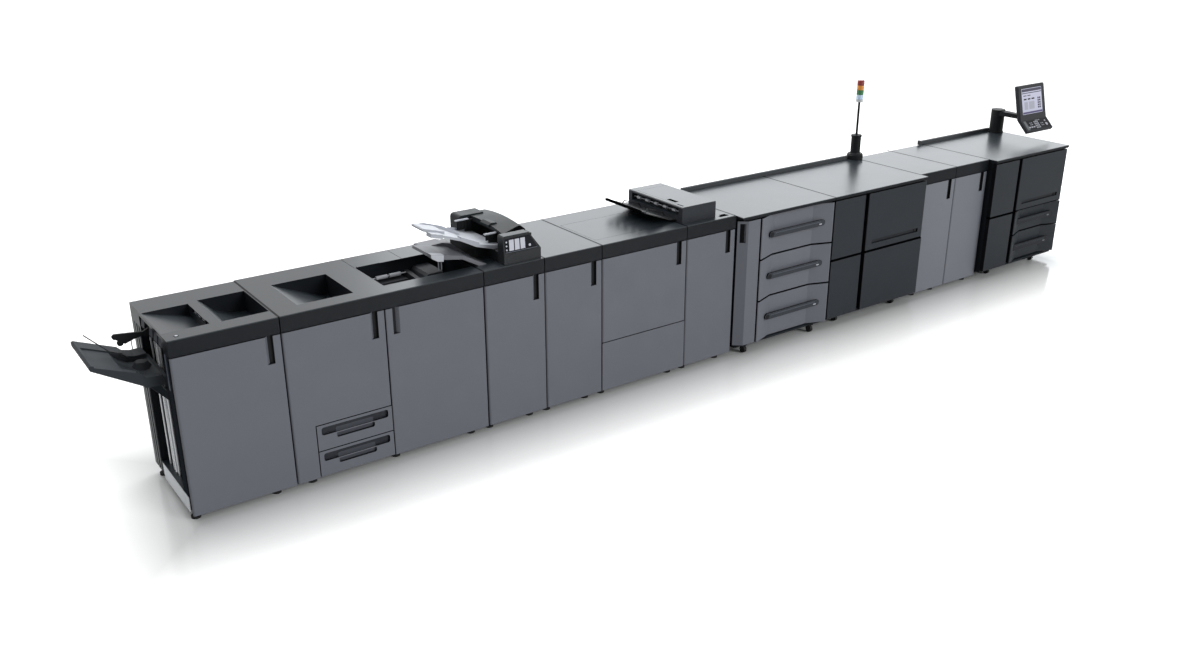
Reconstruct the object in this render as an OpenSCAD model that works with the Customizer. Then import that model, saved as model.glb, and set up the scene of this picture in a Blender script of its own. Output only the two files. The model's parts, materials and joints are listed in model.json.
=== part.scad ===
// A tandem digital production printing line, standing on a level floor.
// Left to right, seen from the front: finisher, binder, folder with a sheet inserter on it,
// punch unit, stacker, relay unit, three-drawer paper feeder, second print engine with a signal
// tower, bridge unit, and main print engine with an operation panel on a swivel arm.
// X runs from left to right, Y from front to back, Z up. Millimetres.

/* [Heights] */
// Height of the finishing modules above the floor
finish_h = 1040; // [1000:5:1080]
// Height of the feeder and engine lids above the floor
engine_h = 1030; // [1010:5:1060]
// Height of the dark band along the top of the finishing modules
band_h = 90; // [70:5:110]
// Height of the cabinets' undersides above the floor
cabinet_z = 60; // [50:2:66]

/* [Depths] */
// Depth of the finishing modules
finish_d = 705; // [680:5:720]
// How far the feeder and the engines stand forward of the finishing modules
engine_lead = 55; // [45:5:65]
// How far the bridge unit stands back from the finishing modules
bridge_setback = 20; // [10:5:30]
// Back of the feeder and the engines, behind the front of the finishing modules
engine_back = 745; // [735:5:790]

/* [Widths] */
// Width of the finisher
finisher_w = 577; // [570:1:590]
// Width of the binder's left half
binder_left_w = 598; // [590:1:610]
// Width of the binder's right half
binder_right_w = 639; // [630:1:650]
// Width of the folder
folder_w = 425; // [415:1:440]
// Width of the punch unit
punch_w = 431; // [420:1:440]
// Width of the stacker
stacker_w = 695; // [680:1:710]
// Width of the relay unit
relay_w = 433; // [420:1:440]
// Width of the paper feeder
feeder_w = 902; // [890:1:915]
// Width of the second engine
second_engine_w = 1030; // [1010:1:1040]
// Width of the bridge unit's left half
bridge_left_w = 437; // [425:1:445]
// Width of the bridge unit's right half
bridge_right_w = 420; // [410:1:430]
// Width of the main engine
main_engine_w = 1004; // [990:1:1015]

/* [Doors and drawers] */
// Thickness of a door
door_t = 26; // [22:1:30]
// Gap between one door and the next
door_gap = 6; // [5:0.5:8]
// Room between a door's back and the cabinet
door_room = 9; // [8:1:12]
// Depth of a door's finger pocket
pocket_d = 18; // [12:1:20]
// Width of a door's finger pocket
pocket_w = 42; // [36:1:48]
// Height of a door's finger pocket
pocket_h = 157; // [140:1:170]
// Thickness of a drawer's walls
drawer_wall = 8; // [6:1:10]

/* [Output tray] */
// How far the output tray reaches out from the finisher
tray_reach = 345; // [320:5:370]
// Height of the tray's tip above the floor
tray_tip_z = 942; // [920:2:960]
// Width of the tray
tray_w = 400; // [380:5:410]

/* [Operation panel] */
// Diameter of the panel's post
post_dia = 118; // [100:2:130]
// Width of the panel
panel_w = 366; // [350:2:420]
// Height of the panel, along its face
panel_h = 297; // [280:1:310]
// Lean of the panel's face from upright, in degrees
panel_lean = 14; // [8:1:20]

/* [Signal tower] */
// Diameter of the signal lamp
lamp_dia = 56; // [40:2:64]
// Height of the signal lamp's top above the floor
lamp_top_z = 1670; // [1600:5:1700]

/* [Hidden] */
$fn = 48;

// Left edge of each module along the line
x_finisher = 0;
x_binder = x_finisher + finisher_w;
x_binder_mid = x_binder + binder_left_w;
x_folder = x_binder_mid + binder_right_w;
x_punch = x_folder + folder_w;
x_stacker = x_punch + punch_w;
x_relay = x_stacker + stacker_w;
x_relay_end = x_relay + relay_w;
dock_gap = 17;
x_feeder = x_relay_end + dock_gap;
x_second_engine = x_feeder + feeder_w;
x_bridge = x_second_engine + second_engine_w;
x_bridge_mid = x_bridge + bridge_left_w;
x_main_engine = x_bridge_mid + bridge_right_w;
x_line_end = x_main_engine + main_engine_w;

// Levels and planes that several pieces share
half_gap = door_gap / 2;
band_z = finish_h - band_h;
door_z0 = 35;
door_z1 = band_z - 6;
case_y = door_t + door_room;
engine_y = -engine_lead;
engine_case_y = engine_y + case_y;
bridge_h = engine_h;
bridge_band_z = bridge_h - band_h;
lid_t = 24;
lid_z = engine_h - lid_t;
engine_door_z0 = 81;
engine_door_z1 = lid_z - 8;
engine_split_z = 545;
finisher_d = finish_d - 15;

// The drawers of the feeder and of the main engine
feeder_drawer_x0 = x_feeder + 180;
feeder_drawer_x1 = x_second_engine - 9;
feeder_drawer_pitch = 309;
feeder_drawer_h = 303;
front_recess = 54;
drawer_front_back = 24;
side_bevel = [50, 47];

// The binder's drawers and the cut in its left door that clears them
binder_drawer_x0 = x_binder + 140;
binder_drawer_h = 155;
binder_drawer_pitch = 161;
binder_drawer_z0 = 38;
binder_cut_z = 360;

// The finisher's end bay, in which the tray's carriage runs
bay_y0 = 112;
bay_y1 = 530;
bay_x1 = 92;
bay_z0 = 136;
bay_z1 = 906;
throat_x1 = 30;
throat_y0 = 98;
throat_y1 = 512;

// The tubs under the sheet trays of the finisher and the binder, and the binder's book well
tub_x0 = 308;
tub_y0 = 109;
tub_y1 = 506;
tub_z = finish_h - 122;
binder_tub_x0 = 760;
binder_tub_x1 = 1054;
binder_tub_z = finish_h - 132;
well_x0 = 1234;
well_x1 = 1800;
well_y0 = 120;
well_y1 = 500;
well_z = 860;

// The sheet inserter on the folder
hood_y1 = 646;
shoulder_y0 = 540;
cover_x0 = 2042;
cover_z0 = 1184;
guide_y = [222, 512];
guide_t = 8;
ledge_face_z = 1111;

// The panel's post and arm
post_x = x_line_end - 60;
post_y = 648;
arm_z0 = 1184;
arm_z1 = 1236;
panel_x = post_x - 9;
panel_y = 280;
panel_z = 1214;
shelf_slope = 45;
tilt_y = panel_y + 60;
tilt_z = panel_z - 4;

// The signal tower
tower_x = x_bridge - 14;
tower_y = 692;
lamp_z0 = 1496;

// The frame's origin is on the floor, in the middle of the line's box
panel_right_x = panel_x + panel_w / 2;
origin_x = (panel_right_x - tray_reach) / 2;
origin_y = (engine_y + engine_back) / 2;

// ---------------------------------------------------------------- shared forms

// Puts what is drawn in line coordinates into the frame
module on_line() {
  translate([-origin_x, -origin_y, 0]) children();
}

// A box given by its low and high corners
module block(low, high) {
  translate(low) cube(high - low);
}

// Extrudes a side profile, drawn as [y, z] points, from x0 to x1
module side_profile(points, x0, x1) {
  translate([x0, 0, 0])
    rotate([90, 0, 90])
      linear_extrude(x1 - x0) polygon(points);
}

// A straight round rod between two points
module rod(p, q, r) {
  v = q - p;
  translate(p)
    rotate([0, acos(v[2] / norm(v)), atan2(v[1], v[0])])
      cylinder(r = r, h = norm(v));
}

// A bent wire through the given points, with round bends
module wire(points, r) {
  for (i = [1 : len(points) - 1]) rod(points[i - 1], points[i], r);
  for (i = [1 : len(points) - 2]) translate(points[i]) sphere(r);
}

// A flat shape with round ends, lying along X in the front view, from y0 back to y1
module pill(x0, x1, y0, y1, z0, z1) {
  r = (z1 - z0) / 2;
  translate([0, y1, 0]) rotate([90, 0, 0]) linear_extrude(y1 - y0) {
    for (x = [x0 + r, x1 - r]) translate([x, z0 + r]) circle(r);
    translate([x0 + r, z0]) square([x1 - x0 - 2 * r, 2 * r]);
  }
}

// A front-view rectangle with all its corners rounded, from y0 back to y1
module round_plate(x0, x1, y0, y1, z0, z1, r) {
  translate([0, y1, 0]) rotate([90, 0, 0]) linear_extrude(y1 - y0) {
    for (x = [x0 + r, x1 - r], z = [z0 + r, z1 - r]) translate([x, z]) circle(r);
    translate([x0 + r, z0]) square([x1 - x0 - 2 * r, z1 - z0]);
    translate([x0, z0 + r]) square([x1 - x0, z1 - z0 - 2 * r]);
  }
}

// Extrudes a front profile, drawn as [x, z] points, from y0 back to y1
module front_profile(points, y0, y1) {
  translate([0, y1, 0])
    rotate([90, 0, 0])
      linear_extrude(y1 - y0) polygon(points);
}

// A door's plan: a full round on the hinge edge, a small round on the free front corner
module door_plan(w, hinge_left = true) {
  r = door_t / 2;
  free_r = 6;
  translate([hinge_left ? 0 : w, 0]) mirror([hinge_left ? 0 : 1, 0]) {
    translate([r, r]) circle(r);
    translate([r, 0]) square([w - r - free_r, door_t]);
    translate([w - free_r, free_r]) circle(free_r);
    translate([w - free_r, free_r]) square([free_r, door_t - free_r]);
  }
}

// A plain door slab with its front face at y
module door_slab(x0, x1, y, z0, z1, hinge_left = true) {
  translate([x0, y, z0]) linear_extrude(z1 - z0) door_plan(x1 - x0, hinge_left);
}

// The finger pocket at a door's top edge: sloping on one side, square on the other
module finger_pocket(x, y, z_top, slope_left = true) {
  slope = 16;
  translate([slope_left ? x : x + pocket_w, y, z_top - pocket_h])
    mirror([slope_left ? 0 : 1, 0, 0])
      linear_extrude(pocket_h + 1)
        polygon([[0, 0], [0, -1], [pocket_w, -1], [pocket_w, pocket_d], [slope, pocket_d]]);
}

// A hinged door with its finger pocket near the free edge
module module_door(x0, x1, y, z0, z1, hinge_left = true, pocket_inset = 42) {
  pocket_x = hinge_left ? x1 - pocket_inset - pocket_w : x0 + pocket_inset;
  difference() {
    door_slab(x0, x1, y, z0, z1, hinge_left);
    finger_pocket(pocket_x, y, z1, hinge_left);
  }
}

// A finishing module's case with its band standing forward over the doors
module module_case(x0, x1, front_y, back_y, top_z, lip_z) {
  edge = 4;
  side_profile([
    [front_y, lip_z], [front_y, top_z - edge], [front_y + edge, top_z], [back_y, top_z],
    [back_y, cabinet_z], [front_y + case_y, cabinet_z], [front_y + case_y, lip_z]
  ], x0, x1);
}

// An engine's case with its lid standing forward over the doors
module engine_case(x0, x1, front_y) {
  edge = 3;
  side_profile([
    [front_y, lid_z + 6], [front_y, engine_h - edge], [front_y + edge, engine_h],
    [engine_back, engine_h], [engine_back, cabinet_z], [front_y + case_y, cabinet_z],
    [front_y + case_y, lid_z], [front_y + 6, lid_z], [front_y + 6, lid_z + 6]
  ], x0, x1);
}

// A drawer's open box behind its front
module drawer_box(x0, x1, y0, y1, z0, z1) {
  difference() {
    block([x0, y0, z0], [x1, y1, z1]);
    block([x0 + drawer_wall, y0 + drawer_wall, z0 + drawer_wall],
          [x1 - drawer_wall, y1 - drawer_wall, z1 + 1]);
  }
}

// A foot: a disc on the floor with its stem up into the cabinet
module foot(x, y, top = cabinet_z) {
  disc_h = 14;
  translate([x, y, 0]) cylinder(r = 26, h = disc_h);
  translate([x, y, disc_h]) cylinder(r = 12, h = top - disc_h);
}

// ---------------------------------------------------------------- finisher

// The cabinet, with the end bay for the tray's carriage and the exit throat above it
module finisher_cabinet() {
  groove_w = 7;
  color("#5c6066") on_line() difference() {
    block([x_finisher, case_y, cabinet_z], [x_binder - half_gap, finisher_d, band_z]);
    block([-1, bay_y0, bay_z0], [bay_x1, bay_y1, bay_z1]);
    block([-1, throat_y0, bay_z1 - 1], [throat_x1, throat_y1, band_z + 1]);
    // the room for the second tray's tub
    block([tub_x0 - 2, tub_y0 - 2, tub_z - 2], [x_binder, tub_y1 + 2, band_z + 1]);
    // the grooves down the end column
    for (y = [552, 590, 628]) block([-1, y, cabinet_z - 1], [4, y + groove_w, band_z + 1]);
  }
}

// The cover, with one sheet tray sunk into its left half and a deeper one into its right half
module finisher_top_cover() {
  edge = 4;
  x1 = x_binder - half_gap;
  slot_x = 250;
  color("#6d7175") on_line() difference() {
    union() {
      side_profile([
        [0, band_z], [0, finish_h - edge], [edge, finish_h], [finisher_d, finish_h],
        [finisher_d, band_z]
      ], x_finisher, x1);
      block([tub_x0, tub_y0, tub_z], [x1, tub_y1, band_z + 1]);
    }
    // the left tray slopes down to its exit slot, with a finger dip at its front corner
    front_profile([[8, finish_h - 3], [slot_x, finish_h - 66], [slot_x, finish_h + 1],
                   [8, finish_h + 1]], 121, 478);
    block([slot_x - 1, 190, finish_h - 26], [slot_x + 22, 400, finish_h - 5]);
    translate([214, 121, finish_h - 20]) rotate([-90, 0, 0]) cylinder(r = 44, h = 60);
    // the right tray: a bevelled rim, a steep slope, and a flat floor at its right
    front_profile([[304, finish_h + 1], [326, finish_h - 12], [391, 964], [477, 930],
                   [566, tub_z + 6], [566, finish_h + 1]], tub_y0 + 6, tub_y1 - 6);
    // the exit throat in the end face
    block([-1, throat_y0, band_z - 1], [throat_x1, throat_y1, finish_h - 20]);
    // the round push button's seat
    translate([62, 50, finish_h - 3]) cylinder(r = 13, h = 4);
  }
  color("#b0b4b8") on_line() translate([62, 50, finish_h - 3.2]) cylinder(r = 10, h = 4.7);
}

module finisher_door() {
  color("#6b6e76") on_line()
    module_door(x_finisher, x_binder - half_gap, 0, door_z0, door_z1);
}

// The pale plate across the foot of the end bay
module finisher_end_plate() {
  color("#b9bcc0") on_line() difference() {
    block([-3, 110, 42], [0, 500, bay_z0 - 1]);
    for (hole = [[128, 58], [146, 52], [470, 110], [482, 60]])
      translate([-4, hole[0], hole[1]]) rotate([0, 90, 0]) cylinder(r = 3.5, h = 5);
  }
}

// The pale flaps that hang in the exit throat and press the sheets down
module finisher_exit_flaps() {
  flap_w = 58;
  flap_z = finish_h - 20;
  color("#8f9498") on_line()
    for (y = [112, 196, 280, 430])
      front_profile([[6, flap_z], [10, flap_z], [4, flap_z - 52], [-1, flap_z - 52]],
                    y, y + flap_w);
}

// The carriage's guides: three round rods and a toothed rack between the bay's floor and roof
module tray_lift_rods() {
  rod_x = 34;
  rack_y = 348;
  tooth = 10;
  teeth = 76;
  color("silver") on_line() {
    for (guide = [[306, 7], [390, 7], [470, 6]])
      translate([rod_x, guide[0], bay_z0]) cylinder(r = guide[1], h = bay_z1 - bay_z0);
    translate([0, rack_y + 11, 0]) rotate([90, 0, 0]) linear_extrude(22)
      polygon(concat(
        [[rod_x + 8, bay_z0], [rod_x + 8, bay_z1], [rod_x - 4, bay_z1]],
        [for (i = [teeth - 1 : -1 : 0], t = [[-4, 8], [-8, 6.5], [-8, 3.5], [-4, 2]])
          [rod_x + t[0], bay_z0 + i * tooth + t[1]]],
        [[rod_x - 4, bay_z0]]));
  }
}

// The tray: a kinked plate with a lower channel along its front half, on a carriage in the bay
module output_tray() {
  root_x = -6;
  y0 = 150;
  y1 = y0 + tray_w;
  step_y = y0 + tray_w * 0.74;
  step = 9;
  root_z = 806;
  carriage_y0 = bay_y0 + 8;
  carriage_y1 = bay_y1 - 8;
  knee = [-130, 857];
  tip = [-tray_reach, tray_tip_z - 6];
  color("#44484c") on_line() {
    difference() {
      front_profile([
        [root_x, 752], [root_x, root_z], [-87, root_z + 9], knee, tip + [10, 6], tip,
        tip + [2, -22], [-106, 769], [-96, 758]
      ], y0, y1);
      // the lower channel, which stops short of the tip
      front_profile([
        knee + [6, -step], tip + [22, -step + 1], tip + [22, 30], knee + [6, 60]
      ], y0 - 1, step_y);
      // the dip at the tray's root
      translate([-58, y0 + 40, root_z + 150]) rotate([-90, 0, 0])
        cylinder(r = 158, h = tray_w * 0.62);
      // the socket of the wire stop
      rod([-146, 350, 876], [-120, 350, 836], 3.3);
    }
    // the hump at the back of the root and the rounded sheet bump in front of it
    front_profile([[root_x, root_z - 8], [root_x, 826], [-66, 824], [-112, 836], [-118, 812]],
                  y1 - 105, y1);
    translate([-62, y0 + 190, root_z - 20]) cylinder(r1 = 60, r2 = 30, h = 46);
    // the carriage: a plate across the bay's mouth, and cheeks that reach back past the rods
    side_profile([[carriage_y0, 676], [carriage_y0, 735], [carriage_y1, 735],
                  [carriage_y1, 602]], root_x, 14);
    block([root_x, carriage_y0 + 22, 734], [14, carriage_y1 - 22, 800]);
    for (y = [carriage_y0, carriage_y1 - 14]) block([13, y, 677], [78, y + 14, 735]);
    block([62, carriage_y0, 677], [78, carriage_y1, 735]);
    // the thin lip along the carriage's top
    block([root_x - 5, carriage_y0, 731], [root_x + 1, carriage_y1, 737]);
  }
}

module tray_wire_stop() {
  color("#303030") on_line()
    wire([[-312, 350, 1034], [-206, 350, 920], [-160, 350, 898], [-124, 350, 842]], 3);
}

// A flat arm with a round nose, a round finger under it and a thin feeler rod
module sheet_press_arm() {
  arm_y = 396;
  arm_t = 12;
  color("#1c1d1f") on_line() {
    translate([0, arm_y + arm_t, 0]) rotate([90, 0, 0]) linear_extrude(arm_t) {
      polygon([[throat_x1, 925], [throat_x1, 990], [-20, 968], [-60, 974], [-157, 985],
               [-157, 955], [-112, 922], [-66, 938], [-22, 946]]);
      translate([-157, 970]) circle(15);
      translate([-135, 931]) circle(16);
    }
    rod([-80, arm_y + arm_t / 2, 884], [-80, arm_y + arm_t / 2, 950], 2.5);
  }
}

// ---------------------------------------------------------------- binder

// Two cases side by side: the left one with the drawers' bays, the right one with the well
module binder_cabinet() {
  x0 = x_binder + half_gap;
  x1 = x_folder - half_gap;
  color("#5c6066") on_line() difference() {
    union() {
      block([x0, case_y, cabinet_z], [x_binder_mid - 1, finish_d, band_z]);
      block([x_binder_mid + 1, case_y, cabinet_z], [x1, finish_d, band_z]);
    }
    // the book well, and the room for the sheet tray's tub
    block([well_x0, well_y0, well_z], [well_x1, well_y1, band_z + 1]);
    block([binder_tub_x0 - 2, tub_y0 - 2, binder_tub_z - 2],
          [binder_tub_x1 + 2, tub_y1 + 2, band_z + 1]);
    for (i = [0, 1])
      block([binder_drawer_x0 + 12, case_y - 1, 70 + i * binder_drawer_pitch],
            [x_binder_mid - 15, 510, 182 + i * binder_drawer_pitch]);
  }
}

module binder_top_cover() {
  edge = 4;
  x0 = x_binder + half_gap;
  x1 = x_folder - half_gap;
  seam = 3;
  color("#6d7175") on_line() difference() {
    union() {
      side_profile([
        [0, band_z], [0, finish_h - edge], [edge, finish_h], [finish_d, finish_h],
        [finish_d, band_z]
      ], x0, x1);
      block([binder_tub_x0, tub_y0, binder_tub_z], [binder_tub_x1, tub_y1, band_z + 1]);
    }
    // the sheet tray: a long slope, a shallower one, and a flat floor at its right
    front_profile([[719, finish_h + 1], [842, 986], [978, 930], [1020, binder_tub_z + 6],
                   [1048, binder_tub_z + 6], [1048, finish_h + 1]], tub_y0 + 6, tub_y1 - 6);
    // the book well's mouth
    block([well_x0, well_y0, band_z - 1], [well_x1, well_y1, finish_h + 1]);
    // the seams between the cover's plates
    for (x = [1228, 1534])
      block([x, well_y1 - 1, finish_h - seam], [x + seam, finish_d + 1, finish_h + 1]);
  }
  // the low bar at the well's back edge
  color("#26292c") on_line()
    block([well_x0 + 6, well_y1 - 14, finish_h - 30], [well_x0 + 150, well_y1, finish_h + 7]);
}

module binder_left_door() {
  color("#6b6e76") on_line() difference() {
    module_door(x_binder + half_gap, x_binder_mid - half_gap, 0, door_z0, door_z1);
    block([binder_drawer_x0 - door_gap, -1, door_z0 - 1],
          [x_binder_mid, door_t + 1, binder_cut_z]);
  }
}

module binder_right_door() {
  color("#6b6e76") on_line()
    module_door(x_binder_mid + half_gap, x_folder - half_gap, 0, door_z0, door_z1, false);
}

// A drawer with a long round-cornered pocket across its front and a deeper tab at its middle
module binder_drawer(level) {
  x0 = binder_drawer_x0;
  x1 = x_binder_mid - half_gap;
  z0 = binder_drawer_z0 + level * binder_drawer_pitch;
  z1 = z0 + binder_drawer_h;
  px0 = x0 + 26;
  px1 = x1 - 24;
  tab_x0 = x0 + 114;
  tab_x1 = x0 + 344;
  lip_t = 5;
  difference() {
    block([x0, 0, z0], [x1, door_t, z1]);
    round_plate(px0, px1, -1, pocket_d, z1 - 64, z1 - 16, 14);
    round_plate(tab_x0, tab_x1, -1, pocket_d, z1 - 98, z1 - 40, 10);
  }
  // the lip that fingers pull on
  block([tab_x0 - 2, 0, z1 - 69], [tab_x1 + 2, lip_t, z1 - 63]);
  drawer_box(x0 + 18, x1 - 18, door_t, 500, z0 + 38, z0 + 128);
}

module binder_upper_drawer() {
  color("#6b6e76") on_line() binder_drawer(1);
}

module binder_lower_drawer() {
  color("#6b6e76") on_line() binder_drawer(0);
}

// What lies in the well: a two-part table for the books, a rail beside it and a drive box
module book_tray() {
  color("#3c4044") on_line() {
    block([well_x0 + 2, well_y0 + 1, well_z], [1530, well_y1 - 1, 912]);
    block([well_x0 + 2, well_y0 + 1, 911], [1530, 410, 930]);
    block([well_x0 + 2, 418, 911], [1530, well_y1 - 1, 936]);
    // the rail, sloping down towards the front
    side_profile([[well_y0 + 1, well_z], [well_y0 + 1, 938], [well_y1 - 1, 966],
                  [well_y1 - 1, well_z]], 1544, 1572);
    block([1529, well_y0 + 1, well_z], [1545, well_y1 - 1, 890]);
    // the drive box with its bevelled left edge
    front_profile([[1571, well_z], [1571, 880], [1596, 966], [1610, 982], [1706, 982],
                   [1706, well_z]], 300, well_y1 - 1);
  }
}

// ---------------------------------------------------------------- folder and inserter

module folder_cabinet() {
  color("#5c6066") on_line()
    module_case(x_folder + half_gap, x_punch - half_gap, 0, finish_d, finish_h, band_z);
}

module folder_door() {
  color("#6b6e76") on_line()
    module_door(x_folder + half_gap, x_punch - half_gap, 0, door_z0, door_z1);
}

// The dark feed unit on the folder: its plinth, the wall behind the feed slot, the support
// under the upper tray, and two ribbed side guides that stand on the tray
module inserter_base() {
  color("#2c2f32") on_line() {
    block([1975, 92, finish_h], [2207, hood_y1, 1104]);
    block([2110, 92, 1103], [2207, shoulder_y0, cover_z0]);
    block([2136, shoulder_y0 - 1, 1103], [2207, hood_y1, cover_z0]);
    block([1901, 240, finish_h], [1976, 560, 1104]);
    for (guide = [[guide_y[0], 1966, 1178], [guide_y[1], 1930, 1200]]) {
      block([guide[1], guide[0], 1142], [cover_x0, guide[0] + guide_t, guide[2]]);
      for (x = [guide[1] + 6 : 22 : cover_x0 - 8])
        block([x, guide[0] - 5, 1144], [x + 6, guide[0] + 1, guide[2] - 3]);
      block([1984, guide[0], 1103], [cover_x0, guide[0] + guide_t, 1143]);
    }
  }
}

// The hood: a block with a round shoulder at the back left, and a long shallow-crowned cover
// that reaches forward over the feed slot, with a raised tab on its left edge
module inserter_hood() {
  crown_r = 1400;
  crown_z = 1217;
  shoulder_x1 = 2136;
  shoulder_r = 26;
  color("#3a3d40") on_line() {
    translate([0, hood_y1, 0]) rotate([90, 0, 0]) linear_extrude(hood_y1 - shoulder_y0) {
      translate([1955 + shoulder_r, 1222 - shoulder_r]) circle(shoulder_r);
      translate([1955 + shoulder_r, 1104]) square([shoulder_x1 - 1955 - shoulder_r, 1222 - 1104]);
      translate([1955, 1104]) square([shoulder_r + 1, 1222 - 1104 - shoulder_r]);
    }
    intersection() {
      block([cover_x0, 160, cover_z0], [2207, hood_y1, 1240]);
      translate([2000, 440, crown_z - crown_r]) rotate([0, 90, 0])
        cylinder(r = crown_r, h = 300, $fn = 720);
    }
    front_profile([[2030, 1196], [2030, 1210], [2052, 1221], [2084, 1219], [2098, 1206],
                   [2098, 1198]], 300, 400);
  }
}

// The upper tray: a kinked plate that widens under the hood, with a raised fence along its
// front, a low one along its back, and a tongue that runs on past its end
module inserter_upper_tray() {
  y0 = 160;
  y1 = 400;
  wide_y1 = 535;
  color("#c8ccd0") on_line() {
    difference() {
      union() {
        front_profile([[2036, 1104], [2036, 1119], [1988, 1127], [1863, 1157], [1758, 1211],
                       [1643, 1251], [1600, 1262], [1600, 1246], [1643, 1236], [1758, 1195],
                       [1862, 1140], [1980, 1104]], y0, y1);
        front_profile([[2036, 1104], [2036, 1119], [1988, 1127], [1872, 1154], [1872, 1138],
                       [1980, 1104]], y1 - 1, wide_y1);
      }
      // the slots that the side guides stand in
      for (y = guide_y) block([1978, y - 1, 1100], [2037, y + guide_t + 1, 1145]);
    }
    front_profile([[1690, 1224], [1690, 1250], [1556, 1290], [1549, 1286], [1551, 1274]],
                  225, 368);
    // the fence and the thick end block at the tray's front corner
    front_profile([[1884, 1146], [1884, 1164], [1862, 1174], [1764, 1218], [1764, 1196]],
                  y0, y0 + 46);
    front_profile([[1645, 1228], [1645, 1254], [1572, 1272], [1566, 1250]], y0, y0 + 58);
    // the low fences along the back edges
    front_profile([[1878, 1140], [1878, 1168], [1758, 1232], [1643, 1270], [1600, 1272],
                   [1600, 1250], [1643, 1240], [1758, 1200]], y1 - 6, y1);
    front_profile([[1990, 1118], [1990, 1140], [1872, 1170], [1872, 1145]],
                  wide_y1 - 6, wide_y1);
  }
}

// The lower tray: a kinked plate, a raised rear part with a round nose, and a block at its
// front corner with two short legs
module inserter_lower_tray() {
  y0 = 110;
  step_y = 350;
  y1 = 450;
  nose = [1607, 1125];
  nose_r = 13;
  color("#8d9196") on_line() {
    front_profile([[1900, finish_h], [1880, 1046], [1750, 1118], [1627, 1146], [1540, 1162],
                   [1536, 1146], [1620, 1120], [1738, 1100], [1846, finish_h]], y0, step_y);
    translate([0, y1, 0]) rotate([90, 0, 0]) linear_extrude(y1 - step_y + 1) {
      translate(nose) circle(nose_r);
      polygon([nose - [0, nose_r], nose + [0, nose_r], [1740, 1140], [1800, 1122],
               [1900, finish_h], [1846, finish_h], [1720, 1108]]);
    }
    front_profile([[1532, 1150], [1532, 1169], [1616, 1152], [1612, 1112], [1573, 1119],
                   [1540, 1140]], y0 - 6, y0 + 40);
    for (x = [1582, 1600]) rod([x, y0 + 4, 1064], [x, y0 + 4, 1130], 4);
  }
}

// The pale bars along the side guides' tops
module inserter_guide_bars() {
  color("#e4e6e8") on_line() {
    pill(1954, cover_x0 - 1, 220, 232, 1178, 1186);
    pill(1916, 2012, 510, 522, 1200, 1208);
  }
}

// The control box: a low front, and above its ledge a leaning face that narrows to the right
module inserter_control_box() {
  x0 = 1969;
  x1 = 2227;
  ledge_z = 1109;
  top_z = 1214;
  color("#2a2d31") on_line() difference() {
    intersection() {
      side_profile([[20, finish_h], [20, ledge_z], [23, ledge_z + 2], [30, top_z - 3],
                    [33, top_z], [92, top_z], [92, finish_h]], x0, x1);
      front_profile([[x0, finish_h], [x0, top_z - 8], [x0 + 8, top_z], [x0 + 180, top_z],
                     [x1 - 4, ledge_z + 4], [x1, ledge_z - 4], [x1, finish_h]], 10, 100);
    }
    control_keys();
  }
}

// Three label plates, small round keys beside them and one larger key, in the box's face
module control_keys() {
  key_y = 21.5;
  translate([0, key_y, ledge_face_z]) rotate([-3.8, 0, 0]) {
    for (i = [0 : 2])
      block([2008 + i * 39, -1, 12], [2040 + i * 39, 4, 78]);
    for (i = [0 : 2])
      translate([1989, 4, 20 + i * 24]) rotate([90, 0, 0]) cylinder(r = 5, h = 6);
    translate([2150, 4, 26]) rotate([90, 0, 0]) cylinder(r = 8, h = 7);
  }
}

module inserter_keys() {
  color("#a5a7b0") on_line() control_keys();
}

// ---------------------------------------------------------------- punch unit

module punch_cabinet() {
  color("#5c6066") on_line()
    module_case(x_punch + half_gap, x_stacker - half_gap, 0, finish_d, finish_h, band_z);
}

module punch_door() {
  color("#6b6e76") on_line()
    module_door(x_punch + half_gap, x_stacker - half_gap, 0, door_z0, door_z1);
}

// ---------------------------------------------------------------- stacker and exit unit

stacker_split_z = 374;

module stacker_cabinet() {
  crease = 2;
  color("#5c6066") on_line() difference() {
    module_case(x_stacker + half_gap, x_relay - half_gap, 0, finish_d, finish_h, band_z);
    // the crease round the top's inset panel
    difference() {
      block([x_stacker + 23, 110, finish_h - crease], [3240, 505, finish_h + 1]);
      block([x_stacker + 23 + crease, 110 + crease, finish_h - crease - 1],
            [3240 - crease, 505 - crease, finish_h + 2]);
    }
  }
}

module stacker_door() {
  color("#6b6e76") on_line()
    module_door(x_stacker + half_gap, x_relay - half_gap, 0, stacker_split_z + half_gap, door_z1);
}

module stacker_lower_cover() {
  color("#6b6e76") on_line()
    block([x_stacker + half_gap, 0, door_z0],
          [x_relay - half_gap, case_y, stacker_split_z - half_gap]);
}

// The exit unit: a low box with a long mouth in its left face
module exit_unit() {
  x0 = 3376;
  x1 = 3668;
  y0 = 68;
  y1 = 657;
  top_z = 1149;
  edge = 5;
  color("#3a3d40") on_line() difference() {
    front_profile([[x0, finish_h], [x0, top_z - edge], [x0 + edge, top_z], [x1 - edge, top_z],
                   [x1, top_z - edge], [x1, finish_h]], y0, y1);
    block([x0 - 1, y0 + 40, 1082], [x0 + 40, y1 - 40, 1134]);
    // the slot and the creases in its top
    block([x0 + 22, y0 + 24, top_z - 6], [x0 + 34, y0 + 90, top_z + 1]);
    block([x0 + 26, y0 + 90, top_z - 2], [x0 + 28, y1 - 70, top_z + 1]);
    block([x0 - 1, y1 - 72, top_z - 2], [x1 + 1, y1 - 70, top_z + 1]);
  }
}

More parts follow.
